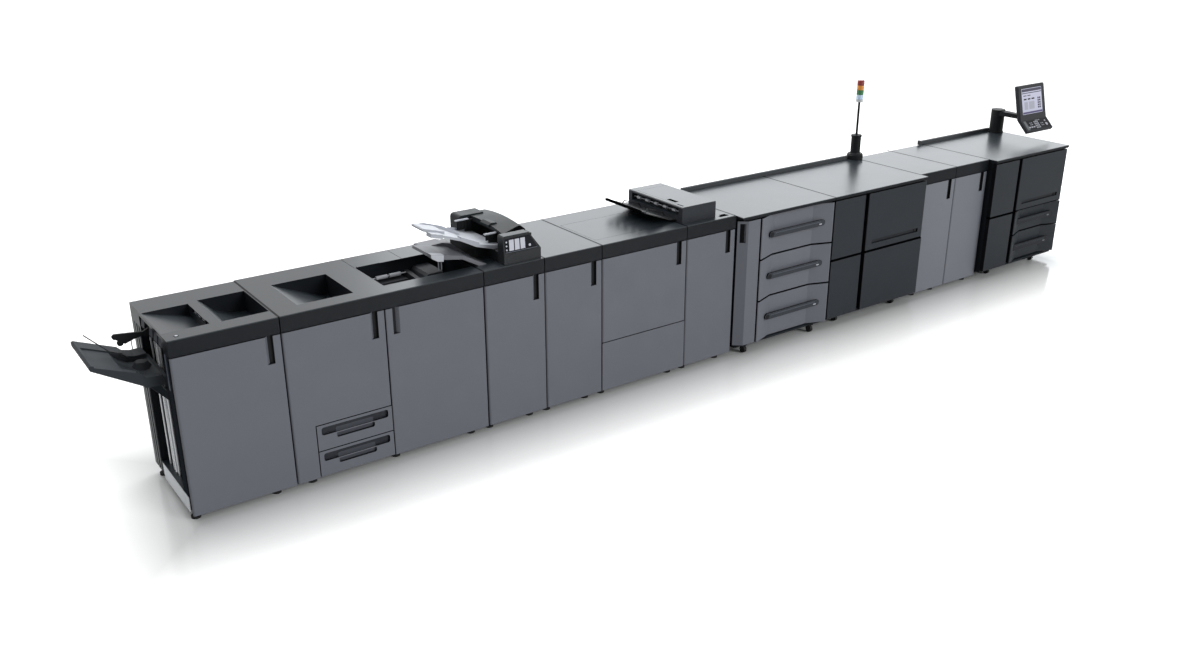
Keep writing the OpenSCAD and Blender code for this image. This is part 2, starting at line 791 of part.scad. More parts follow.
// The exit unit's tray: a kinked plate with a slotted tip, and two bent guide strips above it
module exit_unit_tray() {
  tip_x = 3130;
  y0 = 130;
  y1 = 600;
  slots = 5;
  color("#4a4d50") on_line() {
    difference() {
      front_profile([[3376, 1052], [3376, 1058], [3322, 1064], [tip_x + 2, 1136],
                     [tip_x, 1130], [3322, 1058]], y0, y1);
      for (i = [0 : slots - 1])
        block([tip_x - 1, y0 + 40 + i * 86, 1090], [tip_x + 46, y0 + 82 + i * 86, 1150]);
    }
    for (y = [y0 + 104, y1 - 108])
      front_profile([[3364, 1056], [3343, 1088], [3214, 1133], [3194, 1110], [3200, 1108],
                     [3216, 1127], [3340, 1083], [3358, 1056]], y, y + 5);
  }
}

// The pale rollers in the exits and over the book table
module sheet_rollers() {
  color("#e6e8ea") on_line() {
    for (i = [0 : 4])
      translate([3398, 160 + i * 96, 1106]) rotate([-90, 0, 0]) cylinder(r = 11, h = 34);
    rod([3398, 108, 1106], [3398, 617, 1106], 3);
    for (i = [0 : 2])
      translate([261, 214 + i * 66, finish_h - 15]) rotate([-90, 0, 0]) cylinder(r = 8, h = 30);
    rod([261, 190, finish_h - 15], [261, 400, finish_h - 15], 2.5);
    for (x = [1345, 1432])
      translate([x, 470, 960]) rotate([0, 90, 0]) cylinder(r = 12, h = 74);
    rod([well_x0, 470, 960], [1544, 470, 960], 4);
  }
}

// ---------------------------------------------------------------- relay unit

module relay_cabinet() {
  color("#5c6066") on_line() difference() {
    module_case(x_relay + half_gap, x_relay_end, 0, finish_d, finish_h, band_z);
    block([3706, 46, finish_h - 8], [3758, 78, finish_h + 1]);
  }
}

module relay_door() {
  color("#6b6e76") on_line()
    module_door(x_relay + half_gap, x_relay_end - half_gap, 0, door_z0, door_z1);
}

// ---------------------------------------------------------------- paper feeder

// The lowest edge of a feeder drawer's front
function feeder_drawer_z(level) = 75 + level * feeder_drawer_pitch;

module feeder_cabinet() {
  x0 = x_feeder + half_gap;
  x1 = x_second_engine - half_gap;
  bay_front = drawer_front_back + 8;
  color("#5c6066") on_line() difference() {
    engine_case(x0, x1, engine_y);
    // the room for the side door and the drawers' fronts
    block([x0 - 1, engine_y - 1, engine_door_z0 - 14], [x1 + 1, bay_front, lid_z]);
    for (level = [0, 1, 2])
      block([feeder_drawer_x0 + 14, bay_front - 1, feeder_drawer_z(level) + 20],
            [feeder_drawer_x1 - 14, 690, feeder_drawer_z(level) + 275]);
    // the lid's cut corner, which follows the side door's bevel
    translate([x0, engine_y, lid_z - 1]) linear_extrude(lid_t + 2)
      polygon([[-1, -1], [side_bevel[0], -1], [side_bevel[0] - 4, 0], [0, side_bevel[1]],
               [-1, side_bevel[1]]]);
  }
}

// A door whose free edge turns back in a bevel, with the finger pocket in the bevel
module feeder_side_door() {
  x0 = x_feeder - 8;
  x1 = feeder_drawer_x0 - 10;
  inner = 20;
  wide = [side_bevel[0] + 10, side_bevel[1]];
  color("#6b6e76") on_line() difference() {
    union() {
      translate([x0, engine_y, engine_door_z0])
        linear_extrude(engine_door_z1 - engine_door_z0)
          polygon([[0, wide[1]], [inner, wide[1] + inner], [wide[0] + 10, door_t],
                   [wide[0] + 30, door_t], [wide[0] + 30, 0], [wide[0], 0]]);
      door_slab(x0 + wide[0] + 20, x1, engine_y, engine_door_z0, engine_door_z1, false);
    }
    translate([x0, engine_y + wide[1], 845])
      rotate([0, 0, -atan2(wide[1], wide[0])])
        block([18, -1, 0], [60, 13, 135]);
  }
}

// A drawer front, hollowed in plan between two sloping flanks, with a round-ended grip plate
// that stands clear across the hollow
module hollowed_front(x0, x1, z0, z1, grip) {
  flank = 150;
  rim = 12;
  deep = engine_y + front_recess;
  translate([0, 0, z0]) linear_extrude(z1 - z0)
    polygon([[x0, engine_y + 3], [x0 + 3, engine_y], [x0 + rim, engine_y],
             [x0 + rim + flank, deep], [x1 - rim - flank, deep], [x1 - rim, engine_y],
             [x1 - 3, engine_y], [x1, engine_y + 3], [x1, drawer_front_back],
             [x0, drawer_front_back]]);
  difference() {
    pill(grip[0], grip[1], engine_y + 19, engine_y + 34, grip[2], grip[3]);
    // the long shallow cup in the plate's face
    pill(grip[0] + 8, grip[1] - 8, engine_y + 18, engine_y + 24, grip[2] + 8, grip[3] - 8);
  }
}

module feeder_drawer(level) {
  z0 = feeder_drawer_z(level);
  z1 = z0 + feeder_drawer_h;
  x0 = feeder_drawer_x0;
  x1 = feeder_drawer_x1;
  hollowed_front(x0, x1, z0, z1, [x0 + 98, x1 - 64, z1 - 164, z1 - 119]);
  drawer_box(x0 + 20, x1 - 20, drawer_front_back, 660, z0 + 26, z0 + 262);
}

module feeder_top_drawer() {
  color("#6e7178") on_line() feeder_drawer(2);
}

module feeder_middle_drawer() {
  color("#6e7178") on_line() feeder_drawer(1);
}

module feeder_bottom_drawer() {
  color("#6e7178") on_line() feeder_drawer(0);
}

// ---------------------------------------------------------------- engines

column_w = 323;
strip_w = 43;
side_inset = 10;

module engine_door(x0, x1, groove_x0, groove_x1) {
  color("#3e4247") on_line() difference() {
    door_slab(x0, x1, engine_y, engine_split_z + half_gap, engine_door_z1, false);
    // the long shallow handle groove near the lower edge
    block([groove_x0, engine_y - 1, 600], [groove_x1, engine_y + 14, 630]);
  }
}

module second_engine_cabinet() {
  color("#3a3d42") on_line()
    engine_case(x_second_engine + half_gap, x_bridge - half_gap, engine_y);
}

module second_engine_covers() {
  x0 = x_second_engine + half_gap;
  x1 = x_second_engine + column_w;
  x2 = x1 + strip_w;
  x3 = x_bridge - side_inset;
  color("#3e4247") on_line() {
    block([x0, engine_y, engine_split_z + half_gap], [x1, engine_case_y, engine_door_z1]);
    block([x0, engine_y, engine_door_z0], [x1, engine_case_y, engine_split_z - half_gap]);
    block([x2, engine_y, engine_door_z0], [x3, engine_case_y, engine_split_z - half_gap]);
  }
}

module second_engine_door() {
  engine_door(x_second_engine + column_w + strip_w, x_bridge - side_inset, 5151, 5679);
}

main_column_w = 311;

module main_engine_cabinet() {
  x0 = x_main_engine + half_gap;
  x1 = x_line_end;
  dx0 = x_main_engine + main_column_w + strip_w + 2;
  dx1 = x_line_end - 8;
  color("#3a3d42") on_line() difference() {
    engine_case(x0, x1, engine_y);
    block([dx0 - 8, engine_y - 1, engine_door_z0 - 6], [x1 + 1, 32, engine_split_z + 1]);
    for (bay = [[95, 300], [335, engine_split_z + 1]])
      block([dx0 + 14, 31, bay[0]], [dx1 - 14, 690, bay[1]]);
  }
}

module main_engine_covers() {
  x0 = x_main_engine + half_gap;
  x1 = x_main_engine + main_column_w;
  color("#3e4247") on_line() {
    block([x0, engine_y, engine_split_z + half_gap], [x1, engine_case_y, engine_door_z1]);
    block([x0, engine_y, engine_door_z0], [x1, engine_case_y, engine_split_z - half_gap]);
  }
}

module main_engine_door() {
  engine_door(x_main_engine + main_column_w + strip_w, x_line_end - 8, 7025, 7530);
}

module main_engine_drawer(z0, z1, grip_z0, grip_z1) {
  x0 = x_main_engine + main_column_w + strip_w + 2;
  x1 = x_line_end - 8;
  hollowed_front(x0, x1, z0, z1, [x0 + 24, x1 - 74, grip_z0, grip_z1]);
  drawer_box(x0 + 20, x1 - 20, drawer_front_back, 660, z0 + 20, z0 + 190);
}

module main_engine_upper_drawer() {
  color("#3e4247") on_line() main_engine_drawer(331, 539, 411, 460);
}

module main_engine_lower_drawer() {
  color("#3e4247") on_line() main_engine_drawer(85, 325, 176, 230);
}

// ---------------------------------------------------------------- bridge unit

module bridge_cabinet() {
  color("#5c6066") on_line() {
    module_case(x_bridge + half_gap, x_bridge_mid - half_gap, bridge_setback, finish_d, bridge_h,
                bridge_band_z);
    module_case(x_bridge_mid + half_gap, x_main_engine - half_gap, bridge_setback, finish_d,
                bridge_h, bridge_band_z);
  }
}

module bridge_left_door() {
  color("#7b7e85") on_line()
    module_door(x_bridge + half_gap, x_bridge_mid - half_gap, bridge_setback, door_z0,
                bridge_band_z - 6);
}

module bridge_right_door() {
  color("#7b7e85") on_line()
    module_door(x_bridge_mid + half_gap, x_main_engine - half_gap - 8, bridge_setback, door_z0,
                bridge_band_z - 6);
}

// ---------------------------------------------------------------- rails, tower and panel

module rear_rails() {
  rail_h = 30;
  rail_y0 = 705;
  rail_y1 = 725;
  color("#2c2f32") on_line() {
    for (span = [[3905, tower_x - 70], [6567, post_x - 64]])
      side_profile([[rail_y0, engine_h], [rail_y0, engine_h + rail_h - 4],
                    [rail_y0 + 4, engine_h + rail_h], [rail_y1, engine_h + rail_h],
                    [rail_y1, engine_h]], span[0], span[1]);
    translate([6567, (rail_y0 + rail_y1) / 2, engine_h]) cylinder(r = 13, h = rail_h + 6);
  }
}

// The tower's turned foot, column and collar, and the thin pole above them
module signal_tower() {
  pole_r = 9;
  color("#2a2c2e") on_line() translate([tower_x, tower_y, engine_h]) rotate_extrude()
    polygon([[0, 0], [65, 0], [65, 36], [60, 40], [60, 44], [56, 48], [42, 48], [39, 54],
             [39, 182], [43, 184], [43, 196], [36, 200], [pole_r, 200],
             [pole_r, lamp_z0 - engine_h], [0, lamp_z0 - engine_h]]);
}

// Four lit tiers on a base ring, with a groove between one tier and the next, and a cap
module signal_lamp() {
  r = lamp_dia / 2;
  tiers = 4;
  base_h = 20;
  tier_h = (lamp_top_z - lamp_z0 - base_h - 6) / tiers;
  color("orange") on_line() translate([tower_x, tower_y, lamp_z0]) {
    cylinder(r = r, h = base_h);
    for (i = [0 : tiers - 1]) translate([0, 0, base_h + i * tier_h]) {
      cylinder(r = r - 2.5, h = tier_h);
      translate([0, 0, 2]) cylinder(r = r, h = tier_h - 2);
    }
    translate([0, 0, base_h + tiers * tier_h]) cylinder(r1 = r, r2 = r - 6, h = 6);
  }
}

module panel_post() {
  color("#26282a") on_line() translate([post_x, post_y, engine_h]) {
    cylinder(r = post_dia / 2 + 5, h = 12);
    cylinder(r = post_dia / 2, h = arm_z0 - engine_h);
  }
}

// A horizontal cylinder across the line at the panel's tilt axis
module tilt_round(r, x0, x1) {
  translate([x0, tilt_y, tilt_z]) rotate([0, 90, 0]) cylinder(r = r, h = x1 - x0);
}

// The arm: a round head on the post, a beam that narrows towards the panel, and the knuckle
// with the pin that the panel tilts on
module panel_arm() {
  neck_y = tilt_y + 22;
  head_r = post_dia / 2;
  color("#26282a") on_line() {
    translate([post_x, post_y, arm_z0 + 0.5]) cylinder(r = head_r, h = arm_z1 - arm_z0);
    translate([0, 0, arm_z0 + 6]) linear_extrude(arm_z1 - arm_z0 - 14)
      polygon([[panel_x - 24, neck_y], [panel_x + 24, neck_y], [post_x + 42, post_y],
               [post_x - 42, post_y]]);
    block([panel_x - 14, tilt_y, tilt_z - 10], [panel_x + 14, neck_y + 1, tilt_z + 10]);
    tilt_round(13, panel_x - 14, panel_x + 14);
    tilt_round(5, panel_x - 28, panel_x + 28);
  }
}

// The panel leans back on the rear edge of its sloping key shelf. Its face is framed by a
// rim, and two lugs at its back hold the tilt pin
module operation_panel() {
  body_t = 36;
  shelf_t = 28;
  shelf_l = 120;
  corner_r = 16;
  up = [sin(panel_lean), cos(panel_lean)];
  down = [-cos(shelf_slope), -sin(shelf_slope)];
  back = [up[1] * body_t, -up[0] * body_t];
  under = [-down[1] * shelf_t, down[0] * shelf_t];
  foot = [panel_y, panel_z];
  x0 = panel_x - panel_w / 2;
  x1 = panel_x + panel_w / 2;
  color("#2c2e30") on_line() {
    difference() {
      intersection() {
        side_profile([foot, foot + up * (panel_h - 5), foot + up * panel_h + back * 0.14,
                      foot + up * panel_h + back * 0.8, foot + up * (panel_h - 8) + back,
                      foot + back + up * 5, foot + down * shelf_l + under,
                      foot + down * shelf_l + under * 0.2, foot + down * (shelf_l - 5)], x0, x1);
        round_plate(x0, x1, panel_y - 100, panel_y + 150, panel_z - 120,
                    panel_z + cos(panel_lean) * panel_h, corner_r);
      }
      // the sunk screen and the sunk key field
      translate([0, panel_y, panel_z]) rotate([-panel_lean, 0, 0])
        round_plate(x0 + 38, x1 - 38, -1, 3, 44, panel_h - 30, 4);
      translate([0, panel_y, panel_z]) rotate([90 - shelf_slope, 0, 0])
        block([x0 + 16, -shelf_l + 12, -2], [x1 - 16, -10, 1]);
    }
    for (lug_x = [panel_x - 28, panel_x + 18]) difference() {
      union() {
        block([lug_x, tilt_y - 28, tilt_z - 10], [lug_x + 10, tilt_y, tilt_z + 10]);
        tilt_round(10, lug_x, lug_x + 10);
      }
      tilt_round(5.3, lug_x - 1, lug_x + 11);
    }
  }
}

// The keys on the shelf: a number pad, four wide keys and two round ones
module panel_keys() {
  key = 13;
  pitch = 21;
  rows = 4;
  color("#8b8e96") on_line()
    translate([panel_x, panel_y, panel_z]) rotate([90 - shelf_slope, 0, 0]) {
      for (column = [-1 : 1], row = [0 : rows - 1])
        block([column * pitch - key / 2, -34 - row * 19 - key / 2, -2],
              [column * pitch + key / 2, -34 - row * 19 + key / 2, 1.5]);
      for (x = [-150, -118, -86, -54])
        block([x - 11, -86, -2], [x + 11, -74, 1.5]);
      translate([128, -72, -2]) cylinder(r = 14, h = 4);
      translate([128, -38, -2]) cylinder(r = 8, h = 3.5);
    }
}

// ---------------------------------------------------------------- feet

// A castor: a wheel on its axle under a plate
module castor(x, y) {
  wheel_r = 26;
  translate([x - 11, y, wheel_r]) rotate([0, 90, 0]) cylinder(r = wheel_r, h = 22);
  block([x - 16, y - 9, wheel_r - 6], [x + 16, y + 9, cabinet_z - 4]);
  block([x - 20, y - 20, cabinet_z - 5], [x + 20, y + 20, cabinet_z]);
}

module levelling_feet() {
  left_inset = 26;
  right_inset = 105;
  castor_inset = 190;
  foot_y = [56, finisher_d - 60];
  castor_y = [42, engine_back - 60];
  finishing = [
    x_finisher + left_inset, x_binder - right_inset,
    x_binder + right_inset, x_binder_mid + left_inset, x_folder - right_inset,
    x_folder + left_inset, x_punch - right_inset, x_punch + left_inset,
    x_stacker - right_inset, x_stacker + left_inset, x_relay - right_inset,
    x_relay + left_inset, x_relay_end - right_inset
  ];
  bridge = [x_bridge + right_inset, x_bridge_mid - right_inset, x_main_engine - right_inset];
  engines = [[x_second_engine, x_bridge], [x_main_engine, x_line_end]];
  color("#1a1a1a") on_line() {
    for (x = finishing, y = foot_y) foot(x, y);
    for (x = bridge, y = foot_y) foot(x, y + bridge_setback);
    for (x = [x_feeder + right_inset, x_second_engine - 127], y = [-5, castor_y[1]])
      castor(x, y);
    for (m = engines, x = [m[0] + castor_inset, m[1] - castor_inset], y = castor_y)
      castor(x, y);
  }
}

// ---------------------------------------------------------------- pieces

finisher_cabinet();
finisher_top_cover();
finisher_door();
finisher_end_plate();
finisher_exit_flaps();
tray_lift_rods();
output_tray();
tray_wire_stop();
sheet_press_arm();
binder_cabinet();
binder_top_cover();
binder_left_door();
binder_right_door();
binder_upper_drawer();
binder_lower_drawer();
book_tray();
folder_cabinet();
folder_door();
inserter_base();
inserter_hood();
inserter_upper_tray();
inserter_lower_tray();
inserter_guide_bars();
inserter_control_box();
inserter_keys();
punch_cabinet();
punch_door();
stacker_cabinet();
stacker_door();
stacker_lower_cover();
exit_unit();
exit_unit_tray();
sheet_rollers();
relay_cabinet();
relay_door();
feeder_cabinet();
feeder_side_door();
feeder_top_drawer();
feeder_middle_drawer();
feeder_bottom_drawer();
second_engine_cabinet();
second_engine_covers();
second_engine_door();
bridge_cabinet();
bridge_left_door();
bridge_right_door();
main_engine_cabinet();
main_engine_covers();
main_engine_door();
main_engine_upper_drawer();
main_engine_lower_drawer();
rear_rails();
signal_tower();
signal_lamp();
panel_post();
panel_arm();
operation_panel();
panel_keys();
levelling_feet();
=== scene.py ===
"""Looks of a tandem digital production printing line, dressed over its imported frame."""

import json
import logging
import math
from dataclasses import dataclass, replace
from enum import Enum

import bmesh
import bpy
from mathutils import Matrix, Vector


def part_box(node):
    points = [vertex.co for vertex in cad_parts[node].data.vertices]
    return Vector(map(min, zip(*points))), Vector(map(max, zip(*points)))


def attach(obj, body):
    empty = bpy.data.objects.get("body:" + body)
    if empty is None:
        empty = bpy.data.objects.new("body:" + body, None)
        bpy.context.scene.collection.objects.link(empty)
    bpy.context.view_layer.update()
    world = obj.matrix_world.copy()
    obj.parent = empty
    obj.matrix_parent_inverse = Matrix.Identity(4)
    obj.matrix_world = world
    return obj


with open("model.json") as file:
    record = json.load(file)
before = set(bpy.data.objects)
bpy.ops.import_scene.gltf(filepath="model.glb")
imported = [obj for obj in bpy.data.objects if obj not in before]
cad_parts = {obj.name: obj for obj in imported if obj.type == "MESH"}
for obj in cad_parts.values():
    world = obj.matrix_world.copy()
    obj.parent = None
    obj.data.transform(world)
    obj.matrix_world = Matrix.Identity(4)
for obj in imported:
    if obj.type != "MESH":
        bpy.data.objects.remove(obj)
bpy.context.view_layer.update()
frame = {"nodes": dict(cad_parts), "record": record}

logging.basicConfig(level=logging.INFO, format="%(message)s")
log = logging.getLogger("printing_line")

Colour = tuple[float, float, float]
Point = tuple[float, float, float]
Spot = tuple[float, float]
Outline = tuple[Spot, ...]
Socket = bpy.types.NodeSocket
Material = bpy.types.Material

# Black of the bands at the fronts' joints: partly the joints' own black, partly painted shade
SEAL_AND_SHADE_BLACK: Colour = (6, 7, 8)

# The frame's origin, in millimetres from the finisher's left front corner
ORIGIN = (3688.5, 345.0, 0.0)
LINE = "line_frame"


def on_line(x: float, y: float, z: float) -> Vector:
    """Turns a place on the line into a place in the frame.

    Args:
        x: millimetres to the right of the finisher's left end.
        y: millimetres behind the finishing modules' fronts.
        z: millimetres above the floor.

    Returns:
        The point in metres.
    """
    return Vector(((x - ORIGIN[0]) / 1000, (y - ORIGIN[1]) / 1000, (z - ORIGIN[2]) / 1000))


def linear(colour: Colour) -> tuple[float, float, float, float]:
    """Turns a colour as a paint chart gives it, 0 to 255, into the shader's linear values.

    Args:
        colour: red, green and blue from 0 to 255.

    Returns:
        Linear red, green, blue and a full alpha.
    """

    def channel(value: float) -> float:
        """One channel, from 0 to 255 into linear light."""
        share = value / 255
        return share / 12.92 if share <= 0.04045 else ((share + 0.055) / 1.055) ** 2.4

    return (channel(colour[0]), channel(colour[1]), channel(colour[2]), 1.0)


def scaled(colour: Colour, share: float) -> Colour:
    """Makes a colour lighter or darker by a share."""
    return (colour[0] * share, colour[1] * share, colour[2] * share)


class Gloss(Enum):
    """How rough a finish is, from a chalky one to a polished one."""

    MATT = 0.72
    FINE_GRAIN = 0.55
    SATIN = 0.40
    SEMI = 0.28
    POLISHED = 0.16


class Tree:
    """Short calls that add and join nodes in one material or world."""

    def __init__(self, owner: Material | bpy.types.World, output: str = "OutputMaterial") -> None:
        """Leaves the owner with no node but an output.

        Args:
            owner: the material or the world.
            output: the output node's type.
        """
        owner.use_nodes = True
        self.owner = owner
        self.nodes = owner.node_tree.nodes
        self.links = owner.node_tree.links
        self.nodes.clear()
        self.output = self.add(output)

    def add(self, kind: str, **values: object) -> bpy.types.Node:
        """Adds a node.

        Args:
            kind: the node's type without its ShaderNode prefix.
            values: inputs by name, with underscores for spaces, as values or as sockets to
                join, or plain properties.

        Returns:
            The new node.
        """
        node = self.nodes.new("ShaderNode" + kind)
        for key, value in values.items():
            label = key.replace("_", " ")
            if label in node.inputs:
                self.feed(node.inputs[label], value)
            else:
                setattr(node, key, value)
        return node

    def feed(self, entry: Socket, value: object) -> None:
        """Fills a node's input.

        Args:
            entry: the input.
            value: a value, or a socket to join to it.
        """
        if isinstance(value, Socket):
            self.links.new(value, entry)
        else:
            entry.default_value = value

    def close(self, shader: bpy.types.Node) -> Material:
        """Joins the last shader to the output and gives the owner."""
        self.feed(self.output.inputs["Surface"], shader.outputs[0])
        return self.owner

    def place(self) -> Socket:
        """Gives the surface's own place, from Object coordinates."""
        return self.add("TexCoord").outputs["Object"]

    def axis(self, place: Socket, letter: str) -> Socket:
        """Gives the X, Y or Z of a place or of a direction."""
        return self.add("SeparateXYZ", Vector=place).outputs[letter]

    def maths(self, operation: str, *terms: Socket | float) -> Socket:
        """Adds a Math node.

        Args:
            operation: what it works out.
            terms: its inputs in order, as values or as sockets to join.

        Returns:
            The result.
        """
        node = self.add("Math", operation=operation)
        for entry, term in zip(node.inputs, terms):
            self.feed(entry, term)
        return node.outputs["Value"]

    def noise(
        self, place: Socket, scale: float, detail: float = 3.0, stretch: Point = (1, 1, 1)
    ) -> Socket:
        """Adds noise over the surface.

        Args:
            place: the coordinates to read.
            scale: how many features there are in a metre.
            detail: how many finer layers it has.
            stretch: how much it is squeezed along each axis.

        Returns:
            The noise's factor.
        """
        mapping = self.add("Mapping", Vector=place, Scale=stretch)
        vector = mapping.outputs["Vector"]
        texture = self.add("TexNoise", Vector=vector, Scale=scale, Detail=detail, Roughness=0.55)
        return texture.outputs["Fac"]

    def ramp(self, factor: Socket, stops: list[tuple[float, Colour]], hard: bool = False) -> Socket:
        """Turns a factor into a colour.

        Args:
            factor: the value to read.
            stops: places along the ramp with their colours, 0 to 255.
            hard: whether the colours meet in hard edges.

        Returns:
            The ramp's colour.
        """
        node = self.add("ValToRGB", Fac=factor)
        node.color_ramp.interpolation = "CONSTANT" if hard else "LINEAR"
        elements = node.color_ramp.elements
        while len(elements) < len(stops):
            elements.new(0.5)
        for element, (place, colour) in zip(elements, stops):
            element.position = place
            element.color = linear(colour)
        return node.outputs["Color"]

    def spread(
        self, factor: Socket, low: float, high: float, start: float = 0.0, end: float = 1.0
    ) -> Socket:
        """Maps a factor from start and end onto low and high.

        Args:
            factor: the value to read.
            low: the result at start.
            high: the result at end.
            start: the factor's lower end.
            end: the factor's upper end.

        Returns:
            The mapped value.
        """
        node = self.add(
            "MapRange", Value=factor, From_Min=start, From_Max=end, To_Min=low, To_Max=high
        )
        return node.outputs["Result"]

    def mixed(self, factor: Socket, first: Socket, second: Socket) -> Socket:
        """Mixes two colours.

        Args:
            factor: the share of the second colour.
            first: the first colour.
            second: the second colour.

        Returns:
            The mixed colour.
        """
        node = self.add("Mix", data_type="RGBA")
        for entry, source in (("Factor", factor), (6, first), (7, second)):
            self.feed(node.inputs[entry], source)
        return node.outputs[2]

    def bump(self, height: Socket, strength: float, distance: float) -> Socket:
        """Turns a height into a surface normal."""
        node = self.add("Bump", Strength=strength, Distance=distance, Height=height)
        return node.outputs["Normal"]


class Facing(Enum):
    """Which of a node's faces take its main colour, by the axis that they face; the others take a colour
    painted for how the light falls on them.
    """

    ALL = None
    UPWARD = "Z"
    FRONT_AND_BACK = "Y"


@dataclass(frozen=True)
class Moulding:
    """A painted or moulded finish: one colour that drifts, a fine grain and uneven gloss.

    Faces that face away from the facing axis take a second colour and shine: painted shade, dark on the
    doors' and drawers' edges in the joints and on the lids' sides, lighter on the exit unit's sides.
    Between the black band's two heights, in metres, it is a dull black: partly the joint's own black,
    partly painted shade that widens it.
    """

    name: str
    colour: Colour
    gloss: Gloss = Gloss.SATIN
    drift: float = 0.03
    grain: float = 260.0
    bite: float = 0.03
    specular: float = 0.3
    facing: Facing = Facing.ALL
    turned_shade: Colour = (24, 26, 29)
    turned_shade_specular: float = 0.1
    seal_and_shade: tuple[float, float] | None = None
    wear: float = 0.035

    def _share(self, tree: Tree) -> Socket:
        """Gives 1 on the faces along the facing axis and 0 on those that take the painted shade."""
        normal = tree.add("TexCoord").outputs["Normal"]
        return tree.spread(tree.maths("ABSOLUTE", tree.axis(normal, self.facing.value)), 0, 1, 0.15, 0.45)

    def _drifting(self, tree: Tree, clouds: Socket, colour: Colour) -> Socket:
        """Gives a colour that drifts a little lighter and darker with the clouds."""
        low, high = scaled(colour, 1 - self.drift), scaled(colour, 1 + self.drift)
        return tree.ramp(clouds, [(0.3, low), (0.7, high)])

    def _outside_seal_and_shade(self, tree: Tree) -> Socket:
        """Gives 0 between the black band's two heights, where the joint's shade is painted, and 1
        elsewhere.

        Args:
            tree: the material's tree.

        Returns:
            The share that lies outside the seal.
        """
        low, high = self.seal_and_shade
        height = tree.axis(tree.place(), "Z")
        inside = tree.maths("COMPARE", height, (low + high) / 2, (high - low) / 2)
        return tree.spread(inside, 1.0, 0.0)

    def build(self) -> Material:
        """Makes the material.

        Returns:
            The finished material.
        """
        tree = Tree(bpy.data.materials.new(self.name))
        place = tree.place()
        clouds = tree.noise(place, 1.3, 4.0)
        main, shine = self._drifting(tree, clouds, self.colour), self.specular
        # Faces away from the facing axis take the colour and shine painted for how the light falls on them
        if self.facing is not Facing.ALL:
            share = self._share(tree)
            main = tree.mixed(share, self._drifting(tree, clouds, self.turned_shade), main)
            shine = tree.spread(share, self.turned_shade_specular, self.specular)
        # The black band at a joint: partly its own black, partly painted shade that widens it
        if self.seal_and_shade is not None:
            outside = self._outside_seal_and_shade(tree)
            main = tree.mixed(outside, self._drifting(tree, clouds, SEAL_AND_SHADE_BLACK), main)
            shine = tree.maths("MULTIPLY", shine, outside)
        smooth, rough = self.gloss.value - self.wear, self.gloss.value + self.wear
        shader = tree.add(
            "BsdfPrincipled",
            Base_Color=main,
            Specular_IOR_Level=shine,
            Roughness=tree.spread(tree.noise(place, 6.0, 5.0), smooth, rough, 0.3, 0.7),
            Normal=tree.bump(tree.noise(place, self.grain, 2.0), self.bite, 0.0003),
        )
        return tree.close(shader)


@dataclass(frozen=True)
class DrawnSteel:
    """Bright drawn steel with fine lines along its length."""

    name: str
    colour: Colour = (238, 240, 243)

    def build(self) -> Material:
        """Makes the material, with its lines running up and down.

        Returns:
            The finished material.
        """
        tree = Tree(bpy.data.materials.new(self.name))
        lines = tree.noise(tree.place(), 900.0, 3.0, (1, 1, 0.01))
        shader = tree.add(
            "BsdfPrincipled",
            Metallic=0.45,
            Base_Color=tree.ramp(lines, [(0.25, scaled(self.colour, 0.88)), (0.75, self.colour)]),
            Roughness=tree.spread(lines, 0.2, 0.34),
            Normal=tree.bump(lines, 0.08, 0.0002),
        )
        return tree.close(shader)


@dataclass(frozen=True)
class LampTiers:
    """The signal lamp's plastic: a pale base and four coloured tiers above it."""

    name: str
    low: float
    high: float
    edges: tuple[float, ...] = (0.0, 0.115, 0.328, 0.540, 0.753)
    tiers: tuple[Colour, ...] = (
        (198, 202, 204), (204, 226, 252), (44, 120, 68), (226, 144, 48), (138, 32, 26)
    )

    def build(self) -> Material:
        """Makes the material, with hard edges between the tiers.

        Returns:
            The finished material.
        """
        tree = Tree(bpy.data.materials.new(self.name))
        place = tree.place()
        share = tree.spread(tree.axis(place, "Z"), 0.0, 1.0, self.low, self.high)
        ribs = tree.add("TexWave", wave_type="BANDS", bands_direction="Z", Scale=160.0, Vector=place)
        shader = tree.add(
            "BsdfPrincipled",
            IOR=1.49,
            Coat_Weight=0.4,
            Base_Color=tree.ramp(share, list(zip(self.edges, self.tiers)), hard=True),
            Roughness=tree.spread(tree.noise(place, 30.0), 0.14, 0.24),
            Normal=tree.bump(ribs.outputs["Fac"], 0.25, 0.0006),
        )
        return tree.close(shader)


@dataclass(frozen=True)
class LitGlass:
    """A lit screen: a glow that fades across it, under smooth glass."""

    name: str
    low: Colour
    high: Colour
    glow: float
    span: Spot = (1.2, 1.5)

    def build(self) -> Material:
        """Makes the material, fading upwards from low to high.

        Returns:
            The finished material.
        """
        tree = Tree(bpy.data.materials.new(self.name))
        share = tree.spread(tree.axis(tree.place(), "Z"), 0.0, 1.0, *self.span)
        dim = [(0.0, scaled(self.low, 0.5)), (1.0, scaled(self.high, 0.5))]
        shader = tree.add(
            "BsdfPrincipled",
            Roughness=0.12,
            Emission_Strength=self.glow,
            Emission_Color=tree.ramp(share, [(0.0, self.low), (1.0, self.high)]),
            Base_Color=tree.ramp(share, dim),
        )
        return tree.close(shader)


# Lids take their colour on the faces that look up and a darker painted shade on their sides; doors and
# engine fronts take theirs on the faces that look forwards and a dark painted shade on their edges, which
# deepens the joints
LID = Moulding(
    "case_paint", (44, 49, 54), Gloss.SEMI, 0.015, bite=0.002, specular=0.4, facing=Facing.UPWARD,
    turned_shade=(28, 31, 35), wear=0.006,
)
DOOR = Moulding("door_paint", (99, 102, 110), drift=0.012, specular=0.35, facing=Facing.FRONT_AND_BACK)

